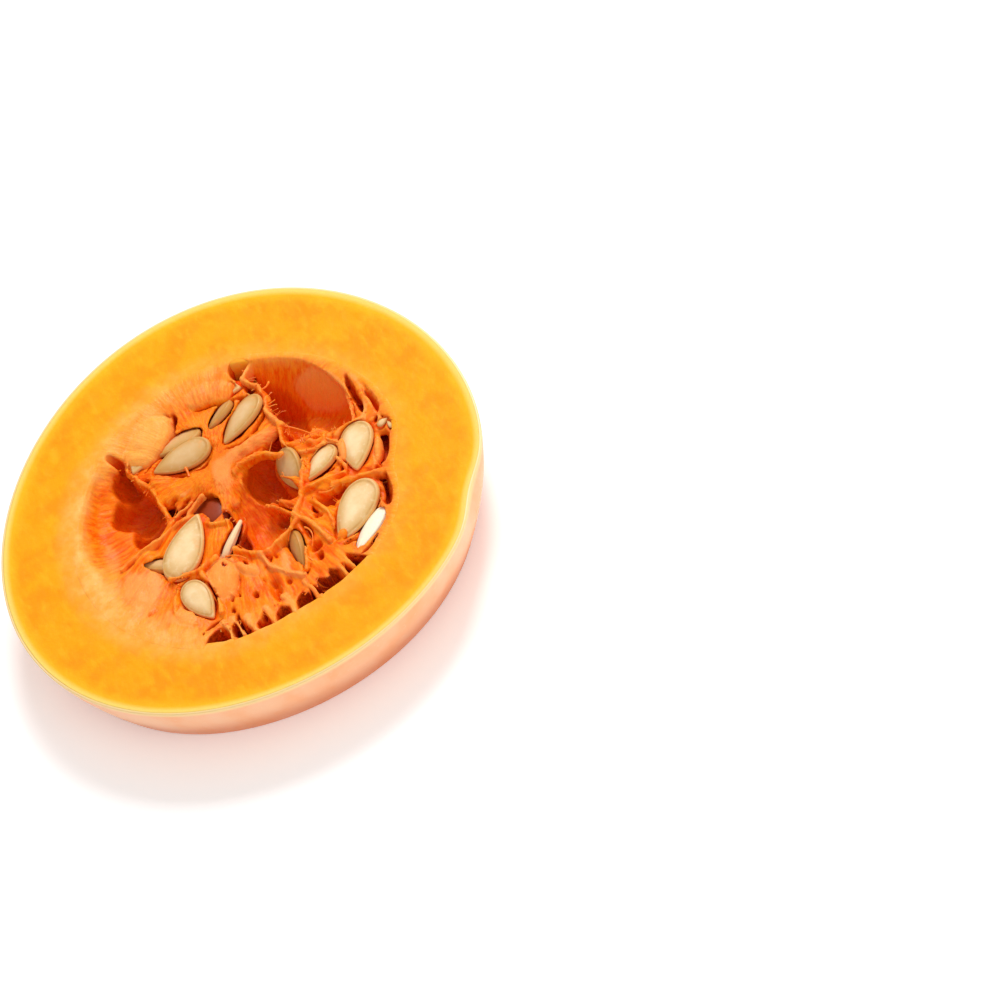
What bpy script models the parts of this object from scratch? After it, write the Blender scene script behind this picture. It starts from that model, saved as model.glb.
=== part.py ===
"""A round slice cut across the seed bulb of a butternut squash, lying on its back cut.

Blender works in metres, so lengths are written in millimetres times MM. +Z points up out of
the front cut, and the origin is under the middle of the slice. Depths are measured down from
the front cut, and turns are in degrees, anticlockwise from +X seen from above.
"""
import math
import random

import bmesh
import bpy
from mathutils import Matrix, Vector

MM = 0.001

# Driving sizes of the slice
THICKNESS = 17.0 * MM
FACE_RADIUS = 57.5 * MM
CAVITY_RADIUS = 38.5 * MM
RIND_THICKNESS = 0.9 * MM
GAP = 0.3 * MM

# The bulb draws in towards its end, so the back cut is smaller than the front one
OUTER_DRAW_IN = 6.9 * MM
OUTER_DRAW_SWAY = 1.1 * MM
CAVITY_DRAW_IN = 4.5 * MM
DRAW_CURVE = 1.3

# The outline is a circle with three faint lobes
LOBE_COUNT = 3
LOBE_HEIGHT = 0.8 * MM
LOBE_TURN = 80.0

# The cavity's outline is flatter at its near side and has one small lump of flesh
NEAR_FLAT_DEPTH = 1.8 * MM
NEAR_FLAT_TURN = 268.0
NEAR_FLAT_SPREAD = 22.0
LUMP_DEPTH = 2.8 * MM
LUMP_TURN = 336.0
LUMP_SPREAD = 12.0

# A chip is broken from the front edge
CHIP_TURN = -37.0
CHIP_SPREAD = 8.0
CHIP_WIDTH = 2.2 * MM
CHIP_DEPTH = 5.0 * MM

# Steps of the turned pieces
ROUND_STEPS = 60
PULP_RINGS = 7
SEED_SIDES = 8
SEED_BANDS = 6
POCKET_SIDES = 14
POCKET_BANDS = 8

# The pulp's surfaces
PULP_SINK = 1.2 * MM
PULP_HOLLOW = 1.3
PULP_SWELL = 0.8
PULP_BACK_SINK = 0.8 * MM
SEED_THICKNESS = 2.8 * MM
MERGE = 0.00001

# Seeds in the front cut, as (x, y, depth, turn of the tip, length, width, roll, pitch)
FRONT_SEEDS = [
    (-5.5, 21.8, 1.9, 172, 15.5, 8.4, -18, 4),
    (-6.0, 26.5, 2.8, 170, 14.0, 7.0, 38, 0),
    (9.8, 21.8, 1.9, 210, 15.0, 8.0, 20, 4),
    (7.0, 27.0, 2.8, 205, 13.5, 6.5, 40, 0),
    (-10.5, 31.4, 2.0, 215, 15.0, 10.0, 6, 6),
    (7.6, 32.0, 2.0, -35, 15.0, 10.0, -6, 6),
    (28.5, -4.8, 1.6, 240, 14.5, 8.5, 10, 0),
    (20.8, -19.2, 1.8, 219, 17.0, 9.5, 0, 5),
    (20.4, -28.2, 3.2, 214, 13.5, 6.0, 76, 0),
    (13.0, 2.6, 4.6, 272, 13.0, 7.5, 46, 4),
    (19.2, -2.6, 1.9, 210, 11.0, 7.0, 15, 0),
    (-17.0, -1.8, 1.6, 50, 17.5, 9.5, 0, -6),
    (-6.0, -6.4, 2.9, 37, 11.0, 5.5, 80, 0),
    (-8.0, 7.6, 6.0, 120, 11.0, 9.0, 0, 0),
    (-19.5, -16.4, 1.9, 262, 14.0, 8.4, 8, 4),
    (-12.6, -14.6, 2.2, 250, 13.5, 8.4, -12, 0),
    (-24.6, -2.0, 2.2, 215, 13.0, 7.0, 30, 6),
    (6.0, -16.6, 3.6, 260, 13.0, 7.0, 52, 0),
]

# Torn pockets in the front cut, as (x, y, depth, half lengths along, across and down, turn)
FRONT_POCKETS = [
    (24.2, 18.4, -1.0, 16.0, 7.8, 11.4, -60),
    (20.2, 15.0, 1.0, 10.0, 5.4, 9.6, -78),
    (-23.2, 15.4, -1.0, 15.0, 8.8, 8.4, 72),
    (-19.2, 17.6, 0.0, 11.6, 4.2, 10.6, 84),
    (7.6, 6.0, 0.0, 5.4, 4.8, 8.6, 20),
    (9.0, -4.2, 0.0, 5.6, 3.6, 7.2, 80),
    (-7.6, 8.0, 0.0, 6.2, 4.6, 6.6, 60),
    (-12.5, 7.2, -0.4, 3.4, 2.2, 4.6, 0),
    (6.2, 11.6, -0.4, 4.2, 1.5, 4.2, 4),
    (-4.6, -6.6, 0.0, 6.2, 3.2, 5.6, 70),
    (1.6, 1.6, -3.2, 13.6, 6.4, 6.4, 84),
    (28.4, -18.4, 0.0, 8.6, 3.0, 5.4, 78),
    (34.0, -6.0, 0.0, 7.6, 2.6, 4.8, 66),
    (18.4, -11.4, -0.4, 3.4, 2.2, 4.0, 0),
    (15.4, 37.0, -0.4, 3.4, 2.0, 3.6, -30),
    (-28.6, -12.2, -0.4, 3.0, 1.3, 2.6, 36),
]

# The slit between the pulp and the flesh at the near side, bridged by fibres
SLIT_FROM = 236.0
SLIT_TO = 294.0
SLIT_POCKETS = 6
SLIT_RADIUS_INSET = 3.4 * MM
SLIT_HALF_WIDTH = 3.0 * MM
SLIT_DEPTH = 8.0 * MM
BRIDGE_COUNT = 11
BRIDGE_LENGTH = 6.4 * MM
BRIDGE_RADIUS = 0.55 * MM

# Strands and web edges, as (start, middle, end) in x, y and depth, then the half thickness
STRANDS = [
    ((-17.6, 32.0, 2.4), (-16.6, 20.6, 1.3), (-15.0, 3.6, 2.8), 1.0),
    ((14.4, 35.0, 2.4), (17.2, 27.0, 1.3), (15.6, 14.0, 2.8), 0.9),
    ((-31.0, 1.4, 2.4), (-24.0, 3.2, 1.4), (-11.6, 4.4, 3.0), 0.8),
    ((-31.0, 21.0, 5.6), (-23.0, 20.4, 5.8), (-14.4, 19.4, 4.6), 0.6),
    ((-31.0, 11.6, 5.6), (-23.0, 11.0, 5.8), (-13.4, 10.4, 4.6), 0.6),
    ((0.6, 10.4, 2.8), (10.0, 10.8, 1.6), (16.4, 4.4, 3.0), 0.7),
    ((16.4, 5.6, 2.8), (14.6, -2.0, 1.5), (11.0, -10.6, 3.0), 0.8),
    ((15.6, 15.4, 2.8), (14.4, 8.0, 1.5), (19.0, 0.0, 3.0), 0.7),
    ((17.6, 2.6, 3.0), (25.0, 3.6, 1.7), (34.4, 1.0, 3.0), 0.6),
    ((-0.6, 11.6, 3.0), (-2.6, -3.0, 2.4), (-1.2, -17.0, 3.0), 1.2),
    ((9.4, -12.4, 3.0), (3.6, -15.4, 1.7), (-2.6, -17.2, 3.0), 0.5),
    ((-6.8, -9.0, 3.0), (-1.4, -17.0, 1.5), (4.6, -30.0, 3.0), 0.6),
    ((9.2, -9.6, 3.0), (11.0, -16.4, 1.5), (12.6, -25.0, 3.0), 0.6),
    ((-25.6, -9.2, 3.0), (-19.0, -10.0, 1.4), (-10.0, -8.6, 3.0), 0.6),
    ((11.4, -9.4, 3.0), (17.0, -8.4, 1.4), (26.6, -11.2, 3.0), 0.7),
    ((31.0, 9.4, 5.0), (34.4, 14.0, 2.4), (32.8, 22.6, 3.8), 0.6),
    ((-14.4, 14.8, 3.0), (-4.0, 13.6, 1.5), (14.4, 14.8, 3.0), 1.1),
]
STRAND_POINTS = 6
STRAND_ROUNDING = 1

# Seeds at the back cut are strewn by a seeded draw, clear of each other and of the pockets
BACK_SEED_COUNT = 9
BACK_SEED_DEPTH = 1.7 * MM
BACK_SEED_LENGTH = 15.5
BACK_SEED_WIDTH = 8.0
BACK_SEED_CLEARANCE = 13.5
BACK_SEED_REACH = 24.0
BACK_DRAW_SEED = 7

FLESH_COLOUR = (0.95, 0.40, 0.02)
RIND_COLOUR = (0.90, 0.46, 0.24)
PULP_COLOUR = (0.90, 0.20, 0.02)


def bump(turn, centre, spread):
    """One at the centre angle, falling smoothly to nothing a few spreads away."""
    away = (turn - centre + 180) % 360 - 180
    return math.exp(-((away / spread) ** 2))


def drop_fraction(z):
    """Nothing at the front cut and one at the back cut."""
    return min(max(1 - z / THICKNESS, 0.0), 1.0)


def mean_outer(z):
    return FACE_RADIUS - OUTER_DRAW_IN * drop_fraction(z) ** DRAW_CURVE


def mean_cavity(z):
    return CAVITY_RADIUS - CAVITY_DRAW_IN * drop_fraction(z) ** DRAW_CURVE


def outer_radius(turn, z, chip_width=CHIP_WIDTH):
    """The rind's radius, with its lobes, its uneven draw and the chip."""
    sway = OUTER_DRAW_SWAY * math.cos(math.radians(turn)) * drop_fraction(z) ** DRAW_CURVE
    lobes = LOBE_HEIGHT * math.cos(math.radians(LOBE_COUNT * (turn - LOBE_TURN)))
    chip_height = min(max(1 - (THICKNESS - z) / CHIP_DEPTH, 0.0), 1.0)
    chip = chip_width * bump(turn, CHIP_TURN, CHIP_SPREAD) * chip_height
    return mean_outer(z) - sway + lobes - chip


def cavity_radius(turn, z):
    """The inner edge of the flesh, with its flat side and its lump."""
    flat = NEAR_FLAT_DEPTH * bump(turn, NEAR_FLAT_TURN, NEAR_FLAT_SPREAD)
    lump = LUMP_DEPTH * bump(turn, LUMP_TURN, LUMP_SPREAD)
    return mean_cavity(z) - flat - lump


def clear_scene():
    for leftover in list(bpy.data.objects):
        bpy.data.objects.remove(leftover, do_unlink=True)


def new_collection(name):
    group = bpy.data.collections.new(name)
    bpy.context.scene.collection.children.link(group)
    return group


def principled(name, colour, roughness):
    """A plain finish for one piece."""
    finish = bpy.data.materials.new(name)
    finish.use_nodes = True
    shader = finish.node_tree.nodes["Principled BSDF"]
    shader.inputs["Base Color"].default_value = (*colour, 1.0)
    shader.inputs["Roughness"].default_value = roughness
    shader.inputs["Metallic"].default_value = 0.0
    return finish


def place(mesh, name, group):
    thing = bpy.data.objects.new(name, mesh)
    group.objects.link(thing)
    return thing


def evaluated_mesh(thing):
    """The mesh of an object with its modifiers applied, or of a curve made solid."""
    bpy.context.view_layer.update()
    shown = thing.evaluated_get(bpy.context.evaluated_depsgraph_get())
    return bpy.data.meshes.new_from_object(shown)


def turned(name, profile, closed, steps, group):
    """A profile of (radius, height) points turned round the Z axis, as a plain mesh object."""
    mesh = bpy.data.meshes.new(name)
    count = len(profile)
    edges = [(i, (i + 1) % count) for i in range(count if closed else count - 1)]
    mesh.from_pydata([(radius, 0, height) for radius, height in profile], edges, [])
    thing = place(mesh, name, group)
    screw = thing.modifiers.new("turn", "SCREW")
    screw.axis = "Z"
    screw.steps = steps
    screw.render_steps = steps
    screw.use_merge_vertices = True
    screw.merge_threshold = MERGE
    solid = evaluated_mesh(thing)
    thing.modifiers.clear()
    thing.data = solid
    return thing


def shape_round(thing, radius_rule, height_rule=None):
    """Move every point of a turned piece by a rule of its turn, radius and height."""
    for vertex in thing.data.vertices:
        x, y, z = vertex.co
        radius = math.hypot(x, y)
        turn = math.degrees(math.atan2(y, x))
        scale = radius_rule(turn, radius, z) / radius if radius > MERGE else 1.0
        vertex.co.x = x * scale
        vertex.co.y = y * scale
        if height_rule:
            vertex.co.z = height_rule(vertex.co.x, vertex.co.y, z)


def finish_piece(thing, material):
    """Centre the slice's outline on the origin, shade it and give it its finish."""
    thing.data.transform(Matrix.Translation(-OUTLINE_CENTRE))
    thing.data.materials.clear()
    thing.data.materials.append(material)
    thing.data.shade_smooth()
    thing.data.set_sharp_from_angle(angle=math.radians(40))
    thing.data.update()


def outline_centre():
    """The middle of the box round the rind's outline at its widest."""
    edge = []
    for step in range(ROUND_STEPS):
        turn = 360 * step / ROUND_STEPS
        for part in range(5):
            radius = outer_radius(turn, THICKNESS * (1 - part / 4))
            angle = math.radians(turn)
            edge.append((radius * math.cos(angle), radius * math.sin(angle)))
    xs = [point[0] for point in edge]
    ys = [point[1] for point in edge]
    return Vector(((max(xs) + min(xs)) / 2, (max(ys) + min(ys)) / 2, 0))


def heights_down(count, top, bottom):
    return [top + (bottom - top) * i / (count - 1) for i in range(count)]


def flesh_ring(group):
    """The firm ring of flesh: flat cuts in front and behind, rind side and cavity side."""
    inset = RIND_THICKNESS + GAP
    outer = [(mean_outer(z) - inset, z) for z in heights_down(6, THICKNESS, 0)]
    back = [((mean_outer(0) - inset + mean_cavity(0)) / 2, 0)]
    inner = [(mean_cavity(z), z) for z in heights_down(4, 0, THICKNESS)]
    face_width = FACE_RADIUS - inset - CAVITY_RADIUS
    front = [(CAVITY_RADIUS + face_width * part, THICKNESS) for part in (0.3, 0.7)]
    thing = turned("flesh_ring", outer + back + inner + front, True, ROUND_STEPS, group)

    def radius_rule(turn, radius, z):
        low, high = mean_cavity(z), mean_outer(z) - inset
        across = (radius - low) / (high - low)
        outside = outer_radius(turn, z, CHIP_WIDTH + GAP) - inset
        return cavity_radius(turn, z) * (1 - across) + outside * across

    shape_round(thing, radius_rule)
    return thing


def rind(group):
    """The thin skin round the flesh, ending just above the surface that the slice lies on."""
    lift = 0.2 * MM
    outer = [(mean_outer(z), z) for z in heights_down(6, THICKNESS, lift)]
    inner = [(mean_outer(z) - RIND_THICKNESS, z) for z in heights_down(6, lift, THICKNESS)]
    thing = turned("rind", outer + inner, True, ROUND_STEPS, group)

    def radius_rule(turn, radius, z):
        return outer_radius(turn, z) - (mean_outer(z) - radius)

    shape_round(thing, radius_rule)
    return thing


def pulp_front(x, y):
    """How far the torn front of the pulp lies below the front cut, pockets apart."""
    reach = min(math.hypot(x, y) / CAVITY_RADIUS, 1.0)
    swell = math.sin(x / (5.1 * MM) + 0.6) * math.cos(y / (4.7 * MM) - 0.4)
    return PULP_SINK + (PULP_HOLLOW + PULP_SWELL * swell) * MM * (1 - reach ** 8)


def pulp_back(x, y):
    """How far the back of the pulp lies above the back cut."""
    reach = min(math.hypot(x, y) / mean_cavity(0), 1.0)
    swell = math.sin(x / (4.3 * MM)) * math.sin(y / (5.3 * MM) + 1.1)
    return PULP_BACK_SINK + (0.5 + 0.4 * swell) * MM * (1 - reach ** 6)


def pulp_bed(group):
    """The soft middle, which fills the flesh's cavity, with wavy torn surfaces."""
    top, bottom = THICKNESS, 0.0
    reach = CAVITY_RADIUS - GAP
    front = [(reach * part / PULP_RINGS, top) for part in range(PULP_RINGS)]
    wall = [(mean_cavity(z) - GAP, z) for z in heights_down(4, top, bottom)]
    back_reach = mean_cavity(0) - GAP
    back = [(back_reach * part / PULP_RINGS, bottom) for part in range(PULP_RINGS - 1, -1, -1)]
    thing = turned("pulp_and_seeds", front + wall + back, False, ROUND_STEPS, group)

    def radius_rule(turn, radius, z):
        mean = mean_cavity(z)
        return radius * (cavity_radius(turn, z) - GAP) / (mean - GAP)

    def height_rule(x, y, z):
        down = drop_fraction(z)
        high = THICKNESS - pulp_front(x, y)
        return high * (1 - down) + pulp_back(x, y) * down

    shape_round(thing, radius_rule, height_rule)
    return thing


def spot(x, y, depth):
    """A place given in millimetres and in depth below the front cut."""
    return Vector((x * MM, y * MM, THICKNESS - depth * MM))


def seed_mesh(length, width):
    """A flat drop: an egg-shaped outline with its tip at +X, thickest near the blunt end."""
    body = bmesh.new()
    bmesh.ops.create_uvsphere(body, u_segments=SEED_SIDES, v_segments=SEED_BANDS, radius=1.0)
    for vertex in body.verts:
        across, up, along = vertex.co
        narrowing = 1.0 - 0.40 * along
        vertex.co = Vector((along * length / 2, across * narrowing * width / 2,
                            up * narrowing * SEED_THICKNESS / 2))
    mesh = bpy.data.meshes.new("seed")
    body.to_mesh(mesh)
    body.free()
    return mesh


def add_seed(centre, turn, length, width, roll, pitch, group):
    mesh = seed_mesh(length * MM, width * MM)
    lie = (Matrix.Translation(centre) @ Matrix.Rotation(math.radians(turn), 4, "Z")
           @ Matrix.Rotation(math.radians(pitch), 4, "Y")
           @ Matrix.Rotation(math.radians(roll), 4, "X"))
    mesh.transform(lie)
    return place(mesh, "seed", group)


def add_pocket(centre, along, across, down, turn, group):
    """An egg-shaped hollow that opens through the pulp's surface."""
    ball = bmesh.new()
    bmesh.ops.create_uvsphere(ball, u_segments=POCKET_SIDES, v_segments=POCKET_BANDS, radius=1.0)
    mesh = bpy.data.meshes.new("pocket")
    ball.to_mesh(mesh)
    ball.free()
    size = Matrix.Diagonal((along, across, down, 1))
    mesh.transform(Matrix.Translation(centre) @ Matrix.Rotation(math.radians(turn), 4, "Z") @ size)
    return place(mesh, "pocket", group)


def bent_points(start, middle, end, count):
    """Points along the smooth curve that passes through the middle place half way."""
    control = middle * 2 - (start + end) / 2
    points = []
    for step in range(count):
        part = step / (count - 1)
        points.append(start * (1 - part) ** 2 + control * 2 * part * (1 - part) + end * part ** 2)
    return points


def add_strand(start, middle, end, radius, group):
    """A fibre that is thickest at its two roots, as a closed tube."""
    curve = bpy.data.curves.new("strand", "CURVE")
    curve.dimensions = "3D"
    curve.bevel_depth = radius
    curve.bevel_resolution = STRAND_ROUNDING
    curve.use_fill_caps = True
    line = curve.splines.new("POLY")
    places = bent_points(start, middle, end, STRAND_POINTS)
    line.points.add(len(places) - 1)
    for index, where in enumerate(places):
        line.points[index].co = (*where, 1)
        line.points[index].radius = 1 + 0.6 * (2 * index / (STRAND_POINTS - 1) - 1) ** 2
    path = place(curve, "strand_path", group)
    mesh = evaluated_mesh(path)
    bpy.data.objects.remove(path, do_unlink=True)
    body = bmesh.new()
    body.from_mesh(mesh)
    bmesh.ops.remove_doubles(body, verts=body.verts, dist=MERGE)
    bmesh.ops.recalc_face_normals(body, faces=body.faces)
    body.to_mesh(mesh)
    body.free()
    return place(mesh, "strand", group)


def add_slit(group):
    """A row of hollows close together makes the slit along the near edge of the cavity."""
    for step in range(SLIT_POCKETS):
        turn = SLIT_FROM + (SLIT_TO - SLIT_FROM) * (step + 0.5) / SLIT_POCKETS
        radius = cavity_radius(turn, THICKNESS) - SLIT_RADIUS_INSET
        angle = math.radians(turn)
        centre = Vector((radius * math.cos(angle), radius * math.sin(angle), THICKNESS))
        spacing = radius * math.radians(SLIT_TO - SLIT_FROM) / SLIT_POCKETS
        add_pocket(centre, spacing * 0.9, SLIT_HALF_WIDTH, SLIT_DEPTH, turn + 90, group)


def add_bridges(group):
    """Short fibres from the pulp to the edge of the cavity, across the slit."""
    for step in range(BRIDGE_COUNT):
        turn = SLIT_FROM + (SLIT_TO - SLIT_FROM) * (step + 0.5) / BRIDGE_COUNT
        angle = math.radians(turn)
        outward = Vector((math.cos(angle), math.sin(angle), 0))
        rim = cavity_radius(turn, THICKNESS) - GAP - BRIDGE_RADIUS * 1.8
        low = Vector((0, 0, THICKNESS - 4.2 * MM))
        high = Vector((0, 0, THICKNESS - 2.6 * MM))
        start = outward * (rim - BRIDGE_LENGTH) + low
        end = outward * rim + high
        add_strand(start, (start + end) / 2, end, BRIDGE_RADIUS, group)


def back_seed_places():
    """Where seeds show in the back cut, drawn at random but kept apart."""
    draw = random.Random(BACK_DRAW_SEED)
    places = []
    while len(places) < BACK_SEED_COUNT:
        x = draw.uniform(-BACK_SEED_REACH, BACK_SEED_REACH)
        y = draw.uniform(-BACK_SEED_REACH, BACK_SEED_REACH)
        inside = math.hypot(x, y) < BACK_SEED_REACH
        apart = all(math.hypot(x - a, y - b) > BACK_SEED_CLEARANCE for a, b, _ in places)
        if inside and apart:
            places.append((x, y, draw.uniform(0, 360)))
    return places


def keep_one_body(mesh):
    """Fill the small hollows that fusing sealed, and drop loose scraps."""
    body = bmesh.new()
    body.from_mesh(mesh)
    waiting = set(body.verts)
    islands = []
    while waiting:
        island = set()
        edge_of_search = [waiting.pop()]
        while edge_of_search:
            vertex = edge_of_search.pop()
            island.add(vertex)
            for edge in vertex.link_edges:
                other = edge.other_vert(vertex)
                if other in waiting:
                    waiting.remove(other)
                    edge_of_search.append(other)
        islands.append(island)
    main = max(islands, key=len)
    for island in islands:
        if island is not main:
            bmesh.ops.delete(body, geom=list(island), context="VERTS")
    body.to_mesh(mesh)
    body.free()


def keep_inside_cavity(mesh):
    """Bend what would reach into the flesh, or through the cuts, back into the cavity."""
    for vertex in mesh.vertices:
        x, y, z = vertex.co
        radius = math.hypot(x, y)
        limit = cavity_radius(math.degrees(math.atan2(y, x)), z) - GAP
        if radius > limit:
            vertex.co.x = x * limit / radius
            vertex.co.y = y * limit / radius
        vertex.co.z = min(max(z, GAP), THICKNESS)


def join_growth(bed, cutters, growth):
    """Cut the pockets from the pulp's bed, then fuse the seeds and strands to it."""
    for label, operation, group in (("pockets", "DIFFERENCE", cutters), ("growth", "UNION", growth)):
        step = bed.modifiers.new(label, "BOOLEAN")
        step.operation = operation
        step.operand_type = "COLLECTION"
        step.collection = group
        step.solver = "MANIFOLD"
    solid = evaluated_mesh(bed)
    bed.modifiers.clear()
    keep_one_body(solid)
    keep_inside_cavity(solid)
    bed.data = solid
    for group in (cutters, growth):
        for thing in list(group.objects):
            bpy.data.objects.remove(thing, do_unlink=True)
        bpy.data.collections.remove(group)


def pulp_and_seeds(group):
    """The pulp with its pockets, and the seeds and strands that grow from it, as one body."""
    bed = pulp_bed(group)
    cutters = new_collection("pulp_cutters")
    growth = new_collection("pulp_growth")
    for x, y, depth, along, across, down, turn in FRONT_POCKETS:
        add_pocket(spot(x, y, depth), along * MM, across * MM, down * MM, turn, cutters)
    add_slit(cutters)
    for x, y, depth, turn, length, width, roll, pitch in FRONT_SEEDS:
        add_seed(spot(x, y, depth), turn, length, width, roll, pitch, growth)
    for x, y, turn in back_seed_places():
        centre = Vector((x * MM, y * MM, BACK_SEED_DEPTH))
        add_seed(centre, turn, BACK_SEED_LENGTH, BACK_SEED_WIDTH, 0, 0, growth)
    for start, middle, end, half in STRANDS:
        add_strand(spot(*start), spot(*middle), spot(*end), half * MM, growth)
    add_bridges(growth)
    join_growth(bed, cutters, growth)
    return bed


OUTLINE_CENTRE = outline_centre()
clear_scene()
slice_group = new_collection("butternut_squash_slice")
finish_piece(flesh_ring(slice_group), principled("flesh", FLESH_COLOUR, 0.42))
finish_piece(rind(slice_group), principled("rind", RIND_COLOUR, 0.38))
finish_piece(pulp_and_seeds(slice_group), principled("pulp", PULP_COLOUR, 0.35))
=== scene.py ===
# A round slice cut across the seed bulb of a butternut squash, lying on its back cut.
# Lengths are millimetres until a mesh is made, and turns are degrees anticlockwise from +X.
import math
import random

import bpy
import numpy as np
from mathutils import Matrix, Vector


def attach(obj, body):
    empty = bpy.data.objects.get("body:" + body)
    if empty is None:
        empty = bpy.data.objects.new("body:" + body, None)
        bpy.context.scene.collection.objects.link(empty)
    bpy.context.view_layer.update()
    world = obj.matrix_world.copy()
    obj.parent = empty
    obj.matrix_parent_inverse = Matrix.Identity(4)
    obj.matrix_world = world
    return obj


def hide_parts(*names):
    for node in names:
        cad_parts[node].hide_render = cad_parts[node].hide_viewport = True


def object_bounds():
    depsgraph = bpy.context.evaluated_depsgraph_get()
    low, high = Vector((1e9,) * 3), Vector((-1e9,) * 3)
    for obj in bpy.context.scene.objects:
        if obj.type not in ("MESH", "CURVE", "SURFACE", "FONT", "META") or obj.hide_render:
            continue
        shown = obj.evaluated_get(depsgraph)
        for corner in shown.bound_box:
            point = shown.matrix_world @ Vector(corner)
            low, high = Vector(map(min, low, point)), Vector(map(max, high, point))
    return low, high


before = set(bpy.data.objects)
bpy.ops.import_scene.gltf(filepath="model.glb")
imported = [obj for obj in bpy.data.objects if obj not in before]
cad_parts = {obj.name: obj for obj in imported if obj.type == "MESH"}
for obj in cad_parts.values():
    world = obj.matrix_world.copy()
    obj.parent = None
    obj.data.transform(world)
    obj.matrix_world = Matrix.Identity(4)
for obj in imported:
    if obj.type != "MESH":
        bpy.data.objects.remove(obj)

MM = 0.001
cad_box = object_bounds()

# The flesh is the firm wall of the bulb: watery tissue, yellow under the skin and salmon where
# it passes into the pulp. A knife cut it flat in front and behind, and its face is just moist.
THICKNESS = cad_box[1].z / MM
FACE_RADIUS = (cad_box[1].x - cad_box[0].x) / 2 / MM
CAVITY_RADIUS = 38.5
SKIN_THICKNESS = 0.9
OUTER_DRAW_IN = 6.9
OUTER_DRAW_SWAY = 1.1
CAVITY_DRAW_IN = 4.5
DRAW_CURVE = 1.3
LOBE_COUNT = 3
LOBE_HEIGHT = 0.8
LOBE_TURN = 80.0
CHIP_TURN = -37.0
CHIP_SPREAD = 8.6
CHIP_WIDTH = 1.9
CHIP_DEPTH = 5.0
CAVITY_FLATS = [
    # how far it stands in, turn, spread
    (1.8, 268.0, 22.0), (2.8, 336.0, 12.0),
]
HALO_LEAST = 0.22
HALO_TURN = 165.0
HALO_SPREAD = 88.0
ROUND_STEPS = 384
FRONT_WIDTH = 18.3
BACK_WIDTH = 15.3
FLESH_UNDER_SKIN = 0.6
KNIFE_WAVE = 0.07
KNIFE_GRAIN = 0.035
RAGGED = 0.35
WALL_ROWS = 14
FACE_ROWS = 44
SIDE_ROWS = 16
BACK_ROWS = 30
LIP = [
    # how far the rounded edge of the cavity stands outwards, and down from the face
    (0.04, 0.45), (0.16, 0.2), (0.4, 0.07),
]


def bump(turn, centre, spread):
    """One at the centre angle, falling smoothly to nothing a few spreads away."""
    away = (turn - centre + 180) % 360 - 180
    return np.exp(-((away / spread) ** 2))


def ease(part):
    """A smooth step from nothing at 0 to one at 1."""
    part = np.clip(part, 0, 1)
    return part * part * (3 - 2 * part)


def drop(z):
    """How far the bulb has drawn in at a height: nothing at the front cut, one at the back."""
    return np.clip(1 - z / THICKNESS, 0, 1) ** DRAW_CURVE


def outer_radius(turn, z):
    """The radius of the skin, with its lobes, its uneven draw and the chip."""
    sway = OUTER_DRAW_SWAY * np.cos(np.radians(turn)) * drop(z)
    lobes = LOBE_HEIGHT * np.cos(np.radians(LOBE_COUNT * (turn - LOBE_TURN)))
    chip_height = np.clip(1 - (THICKNESS - z) / CHIP_DEPTH, 0, 1)
    chip = CHIP_WIDTH * bump(turn, CHIP_TURN, CHIP_SPREAD) * chip_height
    return FACE_RADIUS - OUTER_DRAW_IN * drop(z) - sway + lobes - chip


def cavity_radius(turn, z):
    """The inner edge of the flesh, with its flat near side and its small lump."""
    radius = CAVITY_RADIUS - CAVITY_DRAW_IN * drop(z)
    for inward, middle, spread in CAVITY_FLATS:
        radius = radius - inward * bump(turn, middle, spread)
    return radius


def halo_at(turn):
    """How strongly the flesh turns salmon at the cavity: most at the left, least at the right."""
    return HALO_LEAST + (1 - HALO_LEAST) * bump(turn, HALO_TURN, HALO_SPREAD)


def outline_centre():
    """The middle of the box round the outline, which the frame puts on its Z axis."""
    turns = np.arange(0, 360, 6)
    heights = THICKNESS * np.array([1, 0.75, 0.5, 0.25, 0])
    turn, height = np.meshgrid(turns, heights)
    radius = outer_radius(turn, height)
    x = radius * np.cos(np.radians(turn))
    y = radius * np.sin(np.radians(turn))
    return np.array([(x.max() + x.min()) / 2, (y.max() + y.min()) / 2, 0])


def lattice_noise(places, seed):
    """Smooth random numbers from -1 to 1 at places given in cells of a lattice of draws."""
    count = 32
    draws = np.random.default_rng(seed).uniform(-1, 1, (count,) * 3).astype(np.float32)
    low = np.floor(places).astype(np.int32)
    part = (places - low).astype(np.float32)
    part = part * part * (3 - 2 * part)
    total = np.zeros(places.shape[:-1], np.float32)
    for corner in range(8):
        step = np.array([corner & 1, corner >> 1 & 1, corner >> 2 & 1])
        cell = (low + step) % count
        share = np.where(step, part, 1 - part)
        weight = share[..., 0] * share[..., 1] * share[..., 2]
        total += weight * draws[cell[..., 0], cell[..., 1], cell[..., 2]]
    return total


def write_values(mesh, label, numbers, kind="FLOAT", field="value"):
    """Keep a number, or a vector, for each point of a mesh."""
    layer = mesh.attributes.new(label, kind, "POINT")
    layer.data.foreach_set(field, np.asarray(numbers, np.float32).ravel())


def plain_mesh(name, places, faces, **values):
    """A mesh in the frame's metres from places in millimetres, with a value a point for each name."""
    mesh = bpy.data.meshes.new(name)
    mesh.from_pydata(((places - outline_centre()) * MM).tolist(), [], faces.tolist())
    for label, numbers in values.items():
        write_values(mesh, label, numbers)
    mesh.shade_smooth()
    mesh.update()
    return mesh


def show(mesh, name):
    piece = bpy.data.objects.new(name, mesh)
    bpy.context.scene.collection.objects.link(piece)
    return piece


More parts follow.
